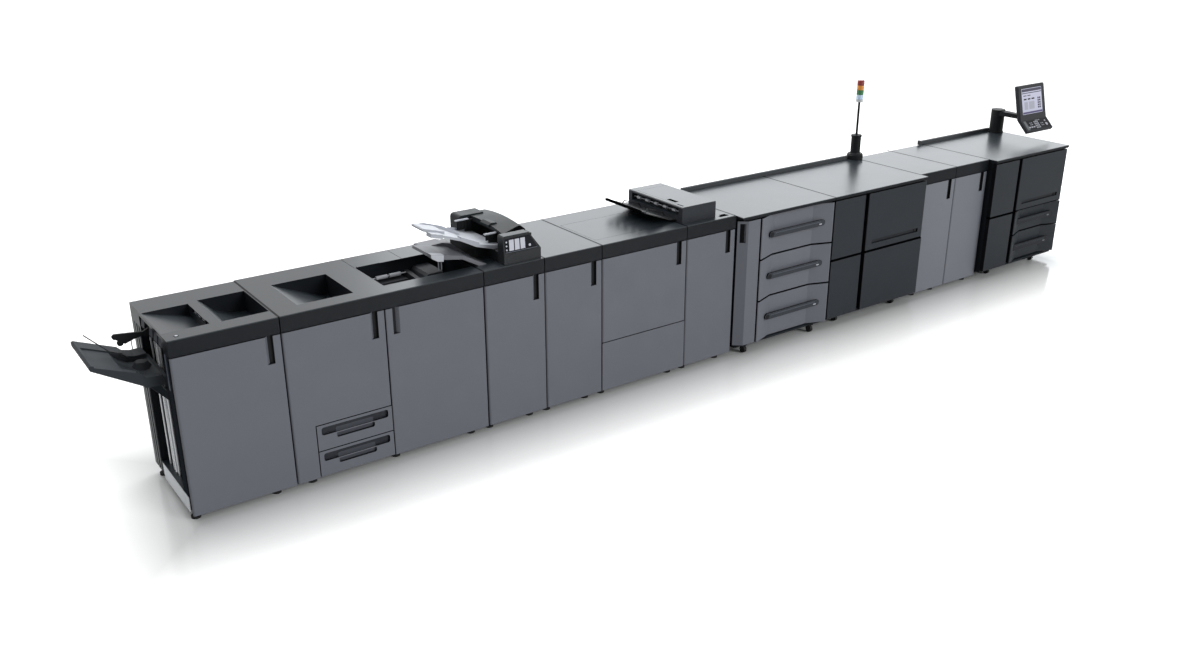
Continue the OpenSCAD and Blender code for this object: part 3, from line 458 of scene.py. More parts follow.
SLOT_FINISHES: dict[str, Moulding | DrawnSteel | LampTiers] = {
    "case_grey": LID,
    "door_grey": DOOR,
    "top_cover": replace(LID, name="cover_plastic", colour=(40, 46, 51), turned_shade=(26, 29, 33)),
    "bridge_grey": replace(DOOR, name="bridge_paint", colour=(113, 116, 124)),
    "feeder_grey": replace(DOOR, name="drawer_plastic", colour=(101, 104, 112), drift=0.015),
    "engine_charcoal": Moulding(
        "engine_plastic", (42, 46, 51), specular=0.15, facing=Facing.FRONT_AND_BACK, turned_shade=(14, 15, 17)
    ),
    "dark_plastic": Moulding("tray_plastic", (38, 41, 45), Gloss.FINE_GRAIN, specular=0.25),
    "black_plastic": Moulding("works_plastic", (17, 19, 21), Gloss.FINE_GRAIN, 0.08, specular=0.2),
    "inserter_shell": Moulding("shell_plastic", (34, 37, 40), Gloss.SEMI, bite=0.01, specular=0.16),
    "tray_grey": Moulding("lower_tray_plastic", (108, 110, 116), drift=0.05),
    "pale_plastic": Moulding("pale_tray_plastic", (172, 176, 184)),
    "pale_metal": Moulding("pale_plate_paint", (158, 161, 166), drift=0.05),
    "key_grey": Moulding("key_plastic", (176, 178, 188), Gloss.FINE_GRAIN),
    "wire_black": Moulding("wire_paint", (30, 32, 34), drift=0.05),
    "rod_steel": DrawnSteel("rod_steel_drawn"),
    "lamp_plastic": LampTiers("lamp_tiers", 1.496, 1.670),
    "foot_rubber": Moulding("foot_rubber_black", (18, 18, 19), Gloss.MATT, 0.1),
}


NODE_FINISHES: dict[str, Moulding] = {
    "finisher_end_plate": Moulding("end_plate_paint", (226, 229, 233), drift=0.04),
    "finisher_exit_flaps": Moulding("flap_plastic", (74, 77, 82), Gloss.FINE_GRAIN, specular=0.05),
    "output_tray": Moulding("output_tray_plastic", (50, 54, 58), Gloss.FINE_GRAIN, specular=0.08),
    # The exit unit's sides take a paler painted colour than its top, for how the light falls on them
    "exit_unit": replace(LID, name="exit_unit_plastic", colour=(42, 48, 54), turned_shade=(50, 53, 58)),
    "inserter_keys": Moulding("inserter_key_plastic", (190, 192, 202), Gloss.FINE_GRAIN),
    "inserter_hood": Moulding("hood_plastic", (36, 40, 42), Gloss.SATIN, bite=0.01, specular=0.1),
    "sheet_rollers": Moulding("roller_plastic", (176, 179, 185), Gloss.FINE_GRAIN, specular=0.2),
    "rear_rails": Moulding("rail_plastic", (64, 67, 70), Gloss.FINE_GRAIN, specular=0.25),
}


def seal_and_shade_finishes() -> dict[str, Moulding]:
    """Gives the fronts whose joints have a black band their slot's finish with that band: partly the
    joint's own black, partly painted shade that widens it.

    Returns:
        The finishes, by node.
    """
    # The band reaches 7 mm up from each front's foot and 1 mm below it, and 9.5 mm to each side of the
    # covers' split
    reach, dip, split, half_seal_and_shade = 0.007, 0.001, 0.545, 0.0095
    slots = {part["node"]: part["material_slot"] for part in frame["record"]["subparts"]}
    covers = ("second_engine_covers", "main_engine_covers")
    levels = {node: (split - half_seal_and_shade, split + half_seal_and_shade) for node in covers}
    for node in (
        "feeder_top_drawer", "feeder_middle_drawer", "main_engine_upper_drawer",
        "second_engine_door", "main_engine_door",
    ):
        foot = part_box(node)[0].z
        levels[node] = (foot - dip, foot + reach)
    return {
        node: replace(SLOT_FINISHES[slots[node]], name=node + "_paint", seal_and_shade=level)
        for node, level in levels.items()
    }


def clad_frame(materials: dict[str, Material]) -> None:
    """Gives every CAD node the finish of its own or its slot's material.

    Args:
        materials: the built materials, by the record's slot.
    """
    own = {node: finish.build() for node, finish in {**NODE_FINISHES, **seal_and_shade_finishes()}.items()}
    for part in frame["record"]["subparts"]:
        node = frame["nodes"][part["node"]]
        node.data.materials.clear()
        node.data.materials.append(own.get(part["node"], materials[part["material_slot"]]))


def new_piece(name: str, mesh: bpy.types.Mesh, body: str, slot: str, *materials: Material) -> None:
    """Puts a finished mesh into the scene as a piece on a body.

    Args:
        name: the piece's name.
        mesh: its mesh, in the frame's own metres.
        body: the body that carries it.
        slot: the record's slot; not used.
        materials: its materials, in the order of the faces' indices.
    """
    piece = bpy.data.objects.new(name, mesh)
    bpy.context.scene.collection.objects.link(piece)
    for material in materials:
        mesh.materials.append(material)
    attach(piece, body)
    log.info("piece %s: %d faces on %s", name, len(mesh.polygons), body)


def pill_outline(width: float, height: float, radius: float, steps: int = 8) -> Outline:
    """Draws a rectangle with round corners about its own middle.

    Args:
        width: its whole width.
        height: its whole height.
        radius: the corners' radius.
        steps: how many edges each corner has.

    Returns:
        The outline's points, anticlockwise.
    """
    points: list[Spot] = []
    for quarter, (sx, sy) in enumerate(((1, 1), (-1, 1), (-1, -1), (1, -1))):
        for step in range(steps + 1):
            turn = math.radians(90 * quarter + 90 * step / steps)
            across, along = sx * (width / 2 - radius), sy * (height / 2 - radius)
            points.append((across + radius * math.cos(turn), along + radius * math.sin(turn)))
    return tuple(points)


@dataclass(frozen=True)
class Plane:
    """A flat place that small parts are set on: a corner and two directions along it."""

    corner: Vector
    right: Vector
    up: Vector

    @classmethod
    def level(cls, corner: Point = (0, 0, 0)) -> "Plane":
        """Gives a plane that lies level, through a place on the line."""
        return cls(on_line(*corner), Vector((1, 0, 0)), Vector((0, 1, 0)))

    @classmethod
    def across(cls, x: float = 0.0) -> "Plane":
        """Gives an upright plane across the line, which faces the line's right end."""
        return cls(on_line(x, 0, 0), Vector((0, 1, 0)), Vector((0, 0, 1)))

    @classmethod
    def upright(cls, corner: Point = (0, 0, 0), lean: float = 0.0) -> "Plane":
        """Gives a plane that faces the front and leans back by so many degrees."""
        turn = math.radians(lean)
        return cls(on_line(*corner), Vector((1, 0, 0)), Vector((0, math.sin(turn), math.cos(turn))))

    @property
    def out(self) -> Vector:
        """The direction straight out of the surface."""
        return self.right.cross(self.up).normalized()

    def at(self, u: float, v: float, w: float = 0.0) -> Vector:
        """Gives a point u to the right, v up and w out, in millimetres."""
        return self.corner + (self.right * u + self.up * v + self.out * w) / 1000


class Plates:
    """Flat plates that lie on planes and are gathered into one piece."""

    def __init__(self, plane: Plane) -> None:
        """Starts with no plate, on a plane that may change between plates."""
        self.plane = plane
        self.shape = bmesh.new()

    def add(
        self, outline: Outline, centre: Spot, levels: Spot, index: int = 0, chamfer: float = 0.0
    ) -> None:
        """Adds a plate with a chamfered upper edge, all in millimetres.

        Args:
            outline: its outline about its middle.
            centre: its middle on the plane.
            levels: its underside's and its face's height above the plane.
            index: the material's index.
            chamfer: how far the upper edge is cut back.
        """
        (cu, cv), (low, high) = centre, levels
        reach, tall = (max(abs(point[axis]) for point in outline) for axis in (0, 1))
        cuts = [(low, 0.0), (high - chamfer, 0.0)]
        if chamfer > 0:
            cuts.append((high, chamfer))
        rings = []
        for height, cut in cuts:
            wide, long = 1 - cut / reach, 1 - cut / tall
            spots = [self.plane.at(cu + u * wide, cv + v * long, height) for u, v in outline]
            rings.append([self.shape.verts.new(spot) for spot in spots])
        faces = [self.shape.faces.new(rings[0][::-1]), self.shape.faces.new(rings[-1])]
        for lower, upper in zip(rings, rings[1:]):
            for i in range(len(outline)):
                j = (i + 1) % len(outline)
                faces.append(self.shape.faces.new((lower[i], lower[j], upper[j], upper[i])))
        for face in faces:
            face.material_index = index

    def pill(
        self, size: Point, centre: Spot, levels: Spot, index: int = 0, chamfer: float = 0.0
    ) -> None:
        """Adds a plate with round corners; size is its width, its height and their radius."""
        self.add(pill_outline(*size), centre, levels, index, chamfer)

    def strip(
        self, wide: Spot, high: Spot, radius: float, levels: Spot, index: int = 0, chamfer: float = 0.0
    ) -> None:
        """Adds a plate with round corners that fills a span to the right and a span upwards."""
        size, centre = (wide[1] - wide[0], high[1] - high[0], radius), (sum(wide) / 2, sum(high) / 2)
        self.pill(size, centre, levels, index, chamfer)

    def close(self, name: str, body: str, slot: str, *materials: Material) -> None:
        """Makes the plates a piece, with its faces pointing outwards.

        Args:
            name: the piece's name.
            body: the body that carries it.
            slot: the record's slot, handed on to new_piece.
            materials: its materials, in the order of the plates' indices.
        """
        bmesh.ops.recalc_face_normals(self.shape, faces=self.shape.faces)
        mesh = bpy.data.meshes.new(name)
        self.shape.to_mesh(mesh)
        self.shape.free()
        new_piece(name, mesh, body, slot, *materials)


class Repeated(Enum):
    """The small shapes that a row repeats."""

    SCREW = "screw"
    SLAT = "slat"


@dataclass
class Row:
    """A Geometry Nodes tree that stands one small shape on each point of a mesh."""

    name: str
    kind: Repeated
    size: Point
    turn: Point = (0.0, 0.0, 0.0)
    sides: int = 14

    def tree(self, material: Material) -> bpy.types.NodeTree:
        """Builds the tree.

        Args:
            material: what the repeated shapes are made of.

        Returns:
            The node group, with named inputs for its sizes.
        """
        group = bpy.data.node_groups.new(self.name, "GeometryNodeTree")
        for name, way, kind in (
            ("Geometry", "INPUT", "Geometry"), ("Size", "INPUT", "Vector"),
            ("Turn", "INPUT", "Vector"), ("Geometry", "OUTPUT", "Geometry"),
        ):
            group.interface.new_socket(name, in_out=way, socket_type="NodeSocket" + kind)
        nodes, links = group.nodes, group.links
        start, end, points, stand, turn, real, paint = (
            nodes.new(kind)
            for kind in (
                "NodeGroupInput", "NodeGroupOutput", "GeometryNodeMeshToPoints",
                "GeometryNodeInstanceOnPoints", "FunctionNodeEulerToRotation",
                "GeometryNodeRealizeInstances", "GeometryNodeSetMaterial",
            )
        )
        paint.inputs["Material"].default_value = material
        links.new(self._shape(nodes, links), stand.inputs["Instance"])
        for source, given, target, taken in (
            (start, "Turn", turn, "Euler"),
            (start, "Geometry", points, "Mesh"),
            (start, "Size", stand, "Scale"),
            (points, "Points", stand, "Points"),
            (turn, "Rotation", stand, "Rotation"),
            (stand, "Instances", real, "Geometry"),
            (real, "Geometry", paint, "Geometry"),
            (paint, "Geometry", end, "Geometry"),
        ):
            links.new(source.outputs[given], target.inputs[taken])
        return group

    def _shape(self, nodes: bpy.types.Nodes, links: bpy.types.NodeLinks) -> Socket:
        """Builds the shape that is repeated, one unit across in each direction.

        Args:
            nodes: the tree's nodes.
            links: the tree's links.

        Returns:
            The shape's geometry.
        """
        if self.kind is Repeated.SLAT:
            block = nodes.new("GeometryNodeMeshCube")
            block.inputs["Size"].default_value = (1, 1, 1)
            return block.outputs["Mesh"]
        shank = nodes.new("GeometryNodeMeshCylinder")
        dome = nodes.new("GeometryNodeMeshCone")
        lift = nodes.new("GeometryNodeTransform")
        both = nodes.new("GeometryNodeJoinGeometry")
        for node, entry, value in (
            (shank, "Vertices", self.sides), (shank, "Radius", 0.5), (shank, "Depth", 0.6),
            (dome, "Vertices", self.sides), (dome, "Radius Bottom", 0.5), (dome, "Radius Top", 0.3),
            (dome, "Depth", 0.2), (lift, "Translation", (0, 0, 0.3)),
        ):
            node.inputs[entry].default_value = value
        links.new(dome.outputs["Mesh"], lift.inputs["Geometry"])
        links.new(shank.outputs["Mesh"], both.inputs["Geometry"])
        links.new(lift.outputs["Geometry"], both.inputs["Geometry"])
        return both.outputs["Geometry"]

    def make(self, points: list[Vector], material: Material) -> bpy.types.Mesh:
        """Stands the shape on each point and keeps the result as a plain mesh.

        Args:
            points: the places, in metres.
            material: what the shapes are made of.

        Returns:
            The mesh of the whole row.
        """
        seed = bpy.data.meshes.new(self.name + "_points")
        seed.from_pydata([tuple(point) for point in points], [], [])
        holder = bpy.data.objects.new(self.name + "_holder", seed)
        bpy.context.scene.collection.objects.link(holder)
        modifier = holder.modifiers.new("row", "NODES")
        group = self.tree(material)
        modifier.node_group = group
        entries = [item for item in group.interface.items_tree if item.in_out == "INPUT"]
        names = {item.name: item.identifier for item in entries}
        modifier[names["Size"]] = self.size
        modifier[names["Turn"]] = self.turn
        shown = holder.evaluated_get(bpy.context.evaluated_depsgraph_get())
        mesh = bpy.data.meshes.new_from_object(shown)
        holder.modifiers.clear()
        bpy.data.objects.remove(holder)
        bpy.data.meshes.remove(seed)
        mesh.name = self.name
        mesh.materials.clear()
        return mesh


@dataclass
class PanelFace:
    """The operation panel's screen with what it shows, and the key shelf below it."""

    hinge: Point = (7539.0, 280.0, 1214.0)
    lean: float = 14.0
    shelf_lean: float = 45.0
    width: float = 286.0
    low: float = 45.0
    high: float = 266.0
    body: str = "operation_panel"
    slot: str = "dark_plastic"
    # Notes, buttons and tiles: the middle, the size and the shade
    marks: tuple[tuple[int, ...], ...] = (
        (-98, 204, 46, 9, 3), (-40, 204, 46, 9, 3), (-98, 174, 40, 13, 2), (-42, 174, 40, 13, 2),
        (14, 174, 42, 13, 2), (-88, 118, 50, 66, 4), (-8, 118, 78, 66, 4),
    )
    # The shelf's key field and its slab: size with corners, middle, levels, paint and chamfer
    shelf_plates: tuple[tuple[Point, Spot, Spot, int, float], ...] = (
        ((332, 96, 2), (0, -59), (-2.2, -1.3), 0, 0.2),
        ((34, 92, 4), (-147, -59), (-1.4, 2.0), 1, 1.0),
    )
    shades: tuple[tuple[str, Colour, Colour, float], ...] = (
        ("screen_header", (66, 62, 92), (78, 74, 106), 0.3),
        ("screen_strip", (76, 68, 122), (98, 86, 148), 0.4),
        ("screen_mark", (26, 26, 38), (36, 36, 50), 0.1),
        ("screen_note", (108, 108, 124), (120, 120, 136), 0.3),
        ("screen_tile", (196, 200, 216), (206, 210, 224), 0.4),
    )

    def build(self) -> None:
        """Builds the glass, what it shows and the shelf."""
        face = Plane.upright(self.hinge, self.lean)
        glass, shown = Plates(face), Plates(face)
        middle = (self.low + self.high) / 2
        glass.pill((self.width, self.high - self.low, 5), (0, middle), (-3.1, -1.2), 0, 0.5)
        lit = LitGlass("screen_glass", (194, 196, 222), (212, 214, 234), 0.62).build()
        glass.close("screen_glass", self.body, self.slot, lit)
        layer, edge = (-1.3, -0.8), 0.1
        bars = ((self.high - 16, 24, 0), (self.high - 40, 7, 0), (self.low + 12, 16, 1))
        for v, height, shade in bars:
            shown.pill((self.width - 8, height, 2), (0, v), layer, shade, edge)
        for u, v, width, height, shade in self.marks:
            shown.pill((width, height, 3), (u, v), layer, shade, edge)
        for row in range(5):
            for column in range(2):
                shown.pill((19, 15, 2), (88 + 24 * column, 92 + 20 * row), layer, 0, edge)
        lit_shades = [LitGlass(*shade).build() for shade in self.shades]
        shown.close("screen_marks", self.body, self.slot, *lit_shades)
        self._shelf()

    def _shelf(self) -> None:
        """Builds the shelf's dark key field, the grey slab at its left and the small keys."""
        shelf = Plates(Plane.upright(self.hinge, self.shelf_lean))
        for plate in self.shelf_plates:
            shelf.pill(*plate)
        places = [(u, -20) for u in (10, 34, 58)]
        places += [(u, v) for u in (-84, -62) for v in (-38, -56)]
        places += [(u, v) for u in (62, 84) for v in (-56, -76)]
        for place in places:
            shelf.pill((14, 9, 3), place, (-1.4, 0.6), 2, 0.5)
        base = Moulding("key_field_plastic", (20, 22, 27), specular=0.15).build()
        slab = Moulding("side_slab_plastic", (96, 101, 104), drift=0.05).build()
        keys = Moulding("small_key_plastic", (156, 159, 168), Gloss.FINE_GRAIN).build()
        shelf.close("panel_key_field", self.body, self.slot, base, slab, keys)


@dataclass
class DoorPull:
    """The black lining in a door's finger pocket, on its floor and its steep side: painted shade in the
    pocket.
    """

    body: str
    left: float
    front: float = 0.0
    top: float = 944.0
    steep_right: bool = True
    width: float = 42.0
    depth: float = 18.0
    height: float = 157.0
    slope: float = 16.0
    skin: float = 1.2
    margin: float = 0.5

    def outline(self) -> Outline:
        """Draws the lining in plan, as an L that stands on the pocket's floor.

        Returns:
            The outline's points.
        """
        back, lip = self.front + self.depth - 0.2, self.front + 0.8
        flat, side = self.slope + 1, self.width - 0.2
        corner = (side - self.skin, back - self.skin)
        plan = [(flat, corner[1]), corner, (corner[0], lip), (side, lip), (side, back), (flat, back)]
        edge, way = (self.left, 1) if self.steep_right else (self.left + self.width, -1)
        return tuple((edge + way * x, y) for x, y in plan)

    def build(self, black: Material) -> None:
        """Builds the lining.

        Args:
            black: its material.
        """
        lining = Plates(Plane.level())
        levels = (self.top - self.height + self.margin, self.top - self.margin)
        lining.add(self.outline(), (0, 0), levels)
        lining.close(self.body + "_pull_lining", self.body, "black_plastic", black)


@dataclass
class DrawerPull:
    """The black linings in a binder drawer's long pocket and the tab below it: painted shade in both
    recesses, paler in the tab.
    """

    body: str
    top: float
    depth: float = 18.0
    # Left, right, foot and head below the top, corners' radius and lining's thickness
    pockets: tuple[tuple[float, ...], ...] = (
        (744, 1147, 63, 17, 13, 1.4), (832, 1060, 97, 41, 9, 1.8)
    )

    def build(self, *materials: Material) -> None:
        """Builds the linings.

        Args:
            materials: those of the long pocket and of the tab.
        """
        lining = Plates(Plane.upright())
        for index, (left, right, foot, head, radius, skin) in enumerate(self.pockets):
            tall = (self.top - foot, self.top - head)
            levels = (0.2 - self.depth, skin - self.depth)
            lining.strip((left, right), tall, radius, levels, index, 0.3)
        lining.close(self.body + "_pull_lining", self.body, "black_plastic", *materials)


@dataclass
class DrawerGrip:
    """What lies in a drawer's grip plate: a dark lining of painted shade, a raised paler ledge that is
    partly a painted highlight, a black opening of painted shade at the left and a small pale piece at the
    right, partly a painted highlight.
    """

    body: str
    span: Spot
    level: Spot
    face_y: float = -36.0

    def build(self, *materials: Material) -> None:
        """Builds the grip's inside.

        Args:
            materials: those of the lining, the ledge, the black opening and the pale piece at the right.
        """
        (left, right), (foot, top) = self.span, self.level
        tall = top - foot
        u, v = (left + right) / 2, (foot + top) / 2
        grip = Plates(Plane.upright((0, self.face_y, 0)))
        # Painted shade fills the cup; the ledge above it is partly a painted highlight, the black opening
        # at the left is painted shade and the pale piece at the right is partly a painted highlight
        grip.pill((right - left - 1, tall - 1, tall / 2 - 1), (u, v), (-5.5, 0.8), 0, 0.7)
        highlight_rim = (right - left - tall * 2.2, tall * 0.16, tall * 0.07)
        grip.pill(highlight_rim, (u + 4, v + tall * 0.2), (0.7, 2.4), 1, 1.0)
        shaded_hole = (tall * 0.8, tall * 0.8, tall * 0.39)
        grip.pill(shaded_hole, (left + tall * 0.5, v), (0.7, 1.4), 2, 0.4)
        catch_highlight = (tall * 0.6, tall * 0.2, tall * 0.09)
        grip.pill(catch_highlight, (right - tall * 1.1, v - tall * 0.16), (0.7, 1.8), 3, 0.6)
        grip.close(self.body + "_grip_lining", self.body, "dark_plastic", *materials)


@dataclass
class BevelPull:
    """The black lining in the finger pocket of the feeder's side door, which lies in a bevel: painted
    shade, deepest here as the bevel faces the light.
    """

    corner: Point = (3793.0, -8.0, 845.0)
    bevel: Spot = (60.0, 47.0)
    start: float = 18.0
    width: float = 42.0
    height: float = 135.0
    depth: float = 13.0

    def build(self, black: Material) -> None:
        """Builds the lining.

        Args:
            black: its material.
        """
        along = Vector((self.bevel[0], -self.bevel[1], 0)).normalized()
        lining = Plates(Plane(on_line(*self.corner), along, Vector((0, 0, 1))))
        wide = (self.start + 0.5, self.start + self.width - 0.5)
        lining.strip(wide, (0.5, self.height - 0.5), 1, (0.3 - self.depth, 2.0 - self.depth))
        lining.close("side_door_pull_lining", "feeder_side_door", "black_plastic", black)


@dataclass
class KeyField:
    """The dark sunk field round the keys on the inserter's control box."""

    corner: Point = (0.0, 21.5, 1111.0)
    lean: float = 3.8
    outline: Outline = ((1980, 5), (2203, 5), (2151, 88), (1980, 88))

    def build(self, *materials: Material) -> None:
        """Builds the field and the pale painted highlight along its foot.

        Args:
            materials: those of the field and the painted highlight.
        """
        key_field = Plates(Plane.upright(self.corner, self.lean))
        key_field.add(self.outline, (0, 0), (-0.2, 0.5))
        (left, foot), (right, _) = self.outline[:2]
        # A pale strip along the field's foot: a painted highlight
        key_field.pill((right - left, 3.5, 1.5), ((left + right) / 2, foot - 1), (-0.2, 0.8), 1, 0.3)
        key_field.close("inserter_key_field", LINE, "inserter_shell", *materials)


@dataclass
class EndTrim:
    """The finisher's end: matt plates of painted shade over the front post, in the rear post's grooves, in
    the throat and on the carriage's face, with the foot plate and the post's strip.
    """

    post: Outline = ((36, 137), (111, 137), (111, 904), (97, 904), (97, 949), (36, 949))
    grooves: tuple[Spot, ...] = ((532, 546), (579, 599), (634, 640))
    groove_span: Spot = (62.0, 948.0)
    # The foot plate and the post's strip: size with corners, middle, levels and paint
    covers: tuple[tuple[Point, Spot, Spot, int], ...] = (
        ((72, 91, 1), (73, 90), (-2.9, 0.1), 1), ((24, 202, 4), (74, 847), (-1.4, -0.4), 2)
    )
    throat: tuple[Spot, Spot] = ((99.0, 511.0), (908.0, 1018.0))
    throat_x: float = 30.0
    carriage_x: float = -6.0
    carriage: Outline = ((121, 678), (521, 604), (521, 733), (121, 733))
    skin: Spot = (-0.5, 0.1)

    def build(self, dark: Material, pale: Material, strip: Material) -> None:
        """Builds the painted shade and the plates on the posts and on the tray's carriage.

        Args:
            dark: the material of the painted shade on the posts, in the grooves, in the throat and on the
                carriage.
            pale: the material of the foot plate.
            strip: the material of the front post's strip.
        """
        trim = Plates(Plane.across())
        trim.add(self.post, (0, 0), self.skin)
        for groove in self.grooves:
            trim.strip(groove, self.groove_span, 2, (-0.4, 0.1))
        for cover in self.covers:
            trim.pill(*cover)
        trim.plane = Plane.across(self.throat_x)
        trim.strip(*self.throat, 2, (-0.6, 0.1))
        trim.close("finisher_end_shade_and_trim", LINE, "black_plastic", dark, pale, strip)
        front = Plates(Plane.across(self.carriage_x))
        front.add(self.carriage, (0, 0), self.skin)
        front.close("carriage_face", "output_tray", "dark_plastic", dark)


@dataclass
class PaleTouches:
    """The pale caps on the lower sheet tray's front block and the lens of the finisher's button."""

    block: Outline = (
        (1533, 1150), (1541, 1141), (1574, 1120), (1611, 1113), (1615, 1151), (1533, 1168)
    )
    block_front: float = 104.0
    block_top: Point = (1532.0, 104.0, 1169.0)
    slope: Point = (84.0, 0.0, -17.0)
    button: Point = (62.0, 50.0, 1041.5)

    def build(self, pale: Material) -> None:
        """Builds the caps and the lens.

        Args:
            pale: their material.
        """
        caps = Plates(Plane.upright((0, self.block_front, 0)))
        caps.add(self.block, (0, 0), (-0.1, 0.8))
        along = Vector(self.slope).normalized()
        caps.plane = Plane(on_line(*self.block_top), along, Vector((0, 1, 0)))
        caps.pill((84, 44, 2), (43, 23), (-0.1, 0.8), 0, 0.5)
        caps.close("tray_block_caps", LINE, "pale_plastic", pale)
        lens = Plates(Plane.level(self.button))
        lens.pill((15, 15, 7.5), (0, 0), (-0.2, 1.2), 0, 0.8)
        lens.close("push_button_lens", LINE, "pale_plastic", pale)


@dataclass
class SmallForms:
    """Black plates of painted shade in the tops' slots and on the hood's corner, and the exit tray's dark
    tip, the lid's corner and a rail's end.
    """

    # Left, right, front, back and top
    slots: tuple[tuple[str, float, float, float, float, float], ...] = (
        ("exit_unit_slot", 3420.0, 3450.0, 198.0, 288.0, 1149.0),
        ("relay_top_slot", 3684.0, 3762.0, 34.0, 58.0, 1040.0),
    )
    tip: Outline = ((205, 1122), (592, 1122), (592, 1138), (205, 1138))
    tip_span: Spot = (3126.0, 3140.0)
    rail: Outline = ((705, 1030.2), (725, 1030.2), (725, 1060), (709, 1060), (705, 1056))
    rail_span: Spot = (7484.2, 7530.0)
    lid_corner: Point = (3864.0, -8.0, 1012.0)
    lid_cut: Outline = ((-46, -47), (0, -47), (-46, 0))
    lid_height: float = 18.0

    def build(self, black: Material, rail: Material, lid: Material) -> None:
        """Builds the small forms.

        Args:
            black: the material of the slots' and the hood corner's painted shade and of the tip.
            rail: the rail's material.
            lid: the material of the feeder's lid.
        """
        corner = Plates(Plane.level(self.lid_corner))
        corner.add(self.lid_cut, (0, 0), (0.0, self.lid_height), 0, 3.0)
        corner.close("feeder_lid_corner", LINE, "top_cover", lid)
        # Each slot is a black plate of painted shade laid on the top
        for name, x0, x1, y0, y1, top in self.slots:
            slot = Plates(Plane.level((0, 0, top)))
            slot.strip((x0, x1), (y0, y1), 3, (-0.3, 0.4))
            slot.close(name, LINE, "black_plastic", black)
        HoodCornerShade().build(black)
        tip, end = Plates(Plane.across()), Plates(Plane.across())
        tip.add(self.tip, (0, 0), self.tip_span)
        tip.close("exit_tray_tip", LINE, "black_plastic", black)
        end.add(self.rail, (0, 0), self.rail_span)
        end.close("rear_rail_end", LINE, "dark_plastic", rail)


@dataclass
class HoodCornerShade:
    """A black plate of painted shade laid over the crowned end of the inserter's hood, where its cover has
    a recess.
    """

    left: float = 2057.6
    right: float = 2207.4
    front: float = 159.6
    back: float = 223.2
    crown_y: float = 440.0
    crown_top: float = 1217.0
    crown_radius: float = 1400.0
    skin: Spot = (-1.0, 0.7)
    steps: int = 8

    def build(self, black: Material) -> None:
        """Lays the painted shade over the crown, row by row.

        Args:
            black: its material.
        """
        corner = Plates(Plane.level())
        low, high = self.skin
        rows = []
        for step in range(self.steps):
            y = self.front + (self.back - self.front) * step / self.steps
            left = self.left + (self.right - self.left) * step / self.steps
            rise = math.sqrt(self.crown_radius**2 - (y - self.crown_y) ** 2)
            z = self.crown_top - self.crown_radius + rise
            ring = ((left, low), (self.right, low), (self.right, high), (left, high))
            rows.append([corner.shape.verts.new(on_line(x, y, z + lift)) for x, lift in ring])
        for near, far in zip(rows, rows[1:]):
            for k in range(4):
                m = (k + 1) % 4
                corner.shape.faces.new((near[k], near[m], far[m], far[k]))
        corner.shape.faces.new(rows[0])
        corner.shape.faces.new(rows[-1])
        corner.close("hood_corner_shade", LINE, "black_plastic", black)


@dataclass
class JointSeals:
    """The thin black seals in the joints between the modules' tops: partly the joints' own black, partly
    painted shade in them.
    """

    # Middle, front, back and top
    joints: tuple[tuple[float, float, float, float], ...] = (
        (577, 6, 690, 1040), (1814, 6, 704, 1040), (2239, 6, 704, 1040), (2670, 6, 704, 1040),
        (3365, 6, 704, 1040), (4717, -51, 744, 1030), (5747, 26, 744, 1030),
        (6184, 26, 744, 1030), (6604, 26, 744, 1030), (3791.4, 6, 704, 1040),
    )
    width: float = 13.0

    def build(self, black: Material) -> None:
        """Builds the seals.

        Args:
            black: their material.
        """
        seals = Plates(Plane.level())
        half = self.width / 2
        for x, y0, y1, top in self.joints:
            seals.strip((x - half, x + half), (y0, y1), 1, (top - 1.5, top + 0.3))
        seals.close("top_joint_seals", LINE, "black_plastic", black)


@dataclass
class DoorGroove:
    """The dark lining in an engine door's long groove, with a black end to the right: painted shade in the
    groove.
    """

    body: str
    left: float
    right: float
    low: float = 600.0
    high: float = 630.0
    face_y: float = -55.0
    depth: float = 14.0

    def build(self, *materials: Material) -> None:
        """Builds the lining.

        Args:
            materials: those of the groove's floor and of its right end.
        """
        lining = Plates(Plane.upright((0, self.face_y + self.depth, 0)))
        tall = (self.low + 0.5, self.high - 0.5)
        lining.strip((self.left + 0.5, self.right - 0.5), tall, 1, (0.2, 1.2))
        tall = (self.low + 1, self.high - 1)
        lining.strip((self.right - 36, self.right - 2), tall, 3, (1.1, 5.0), 1, 0.5)
        lining.close(self.body + "_groove_shade_lining", self.body, "engine_charcoal", *materials)


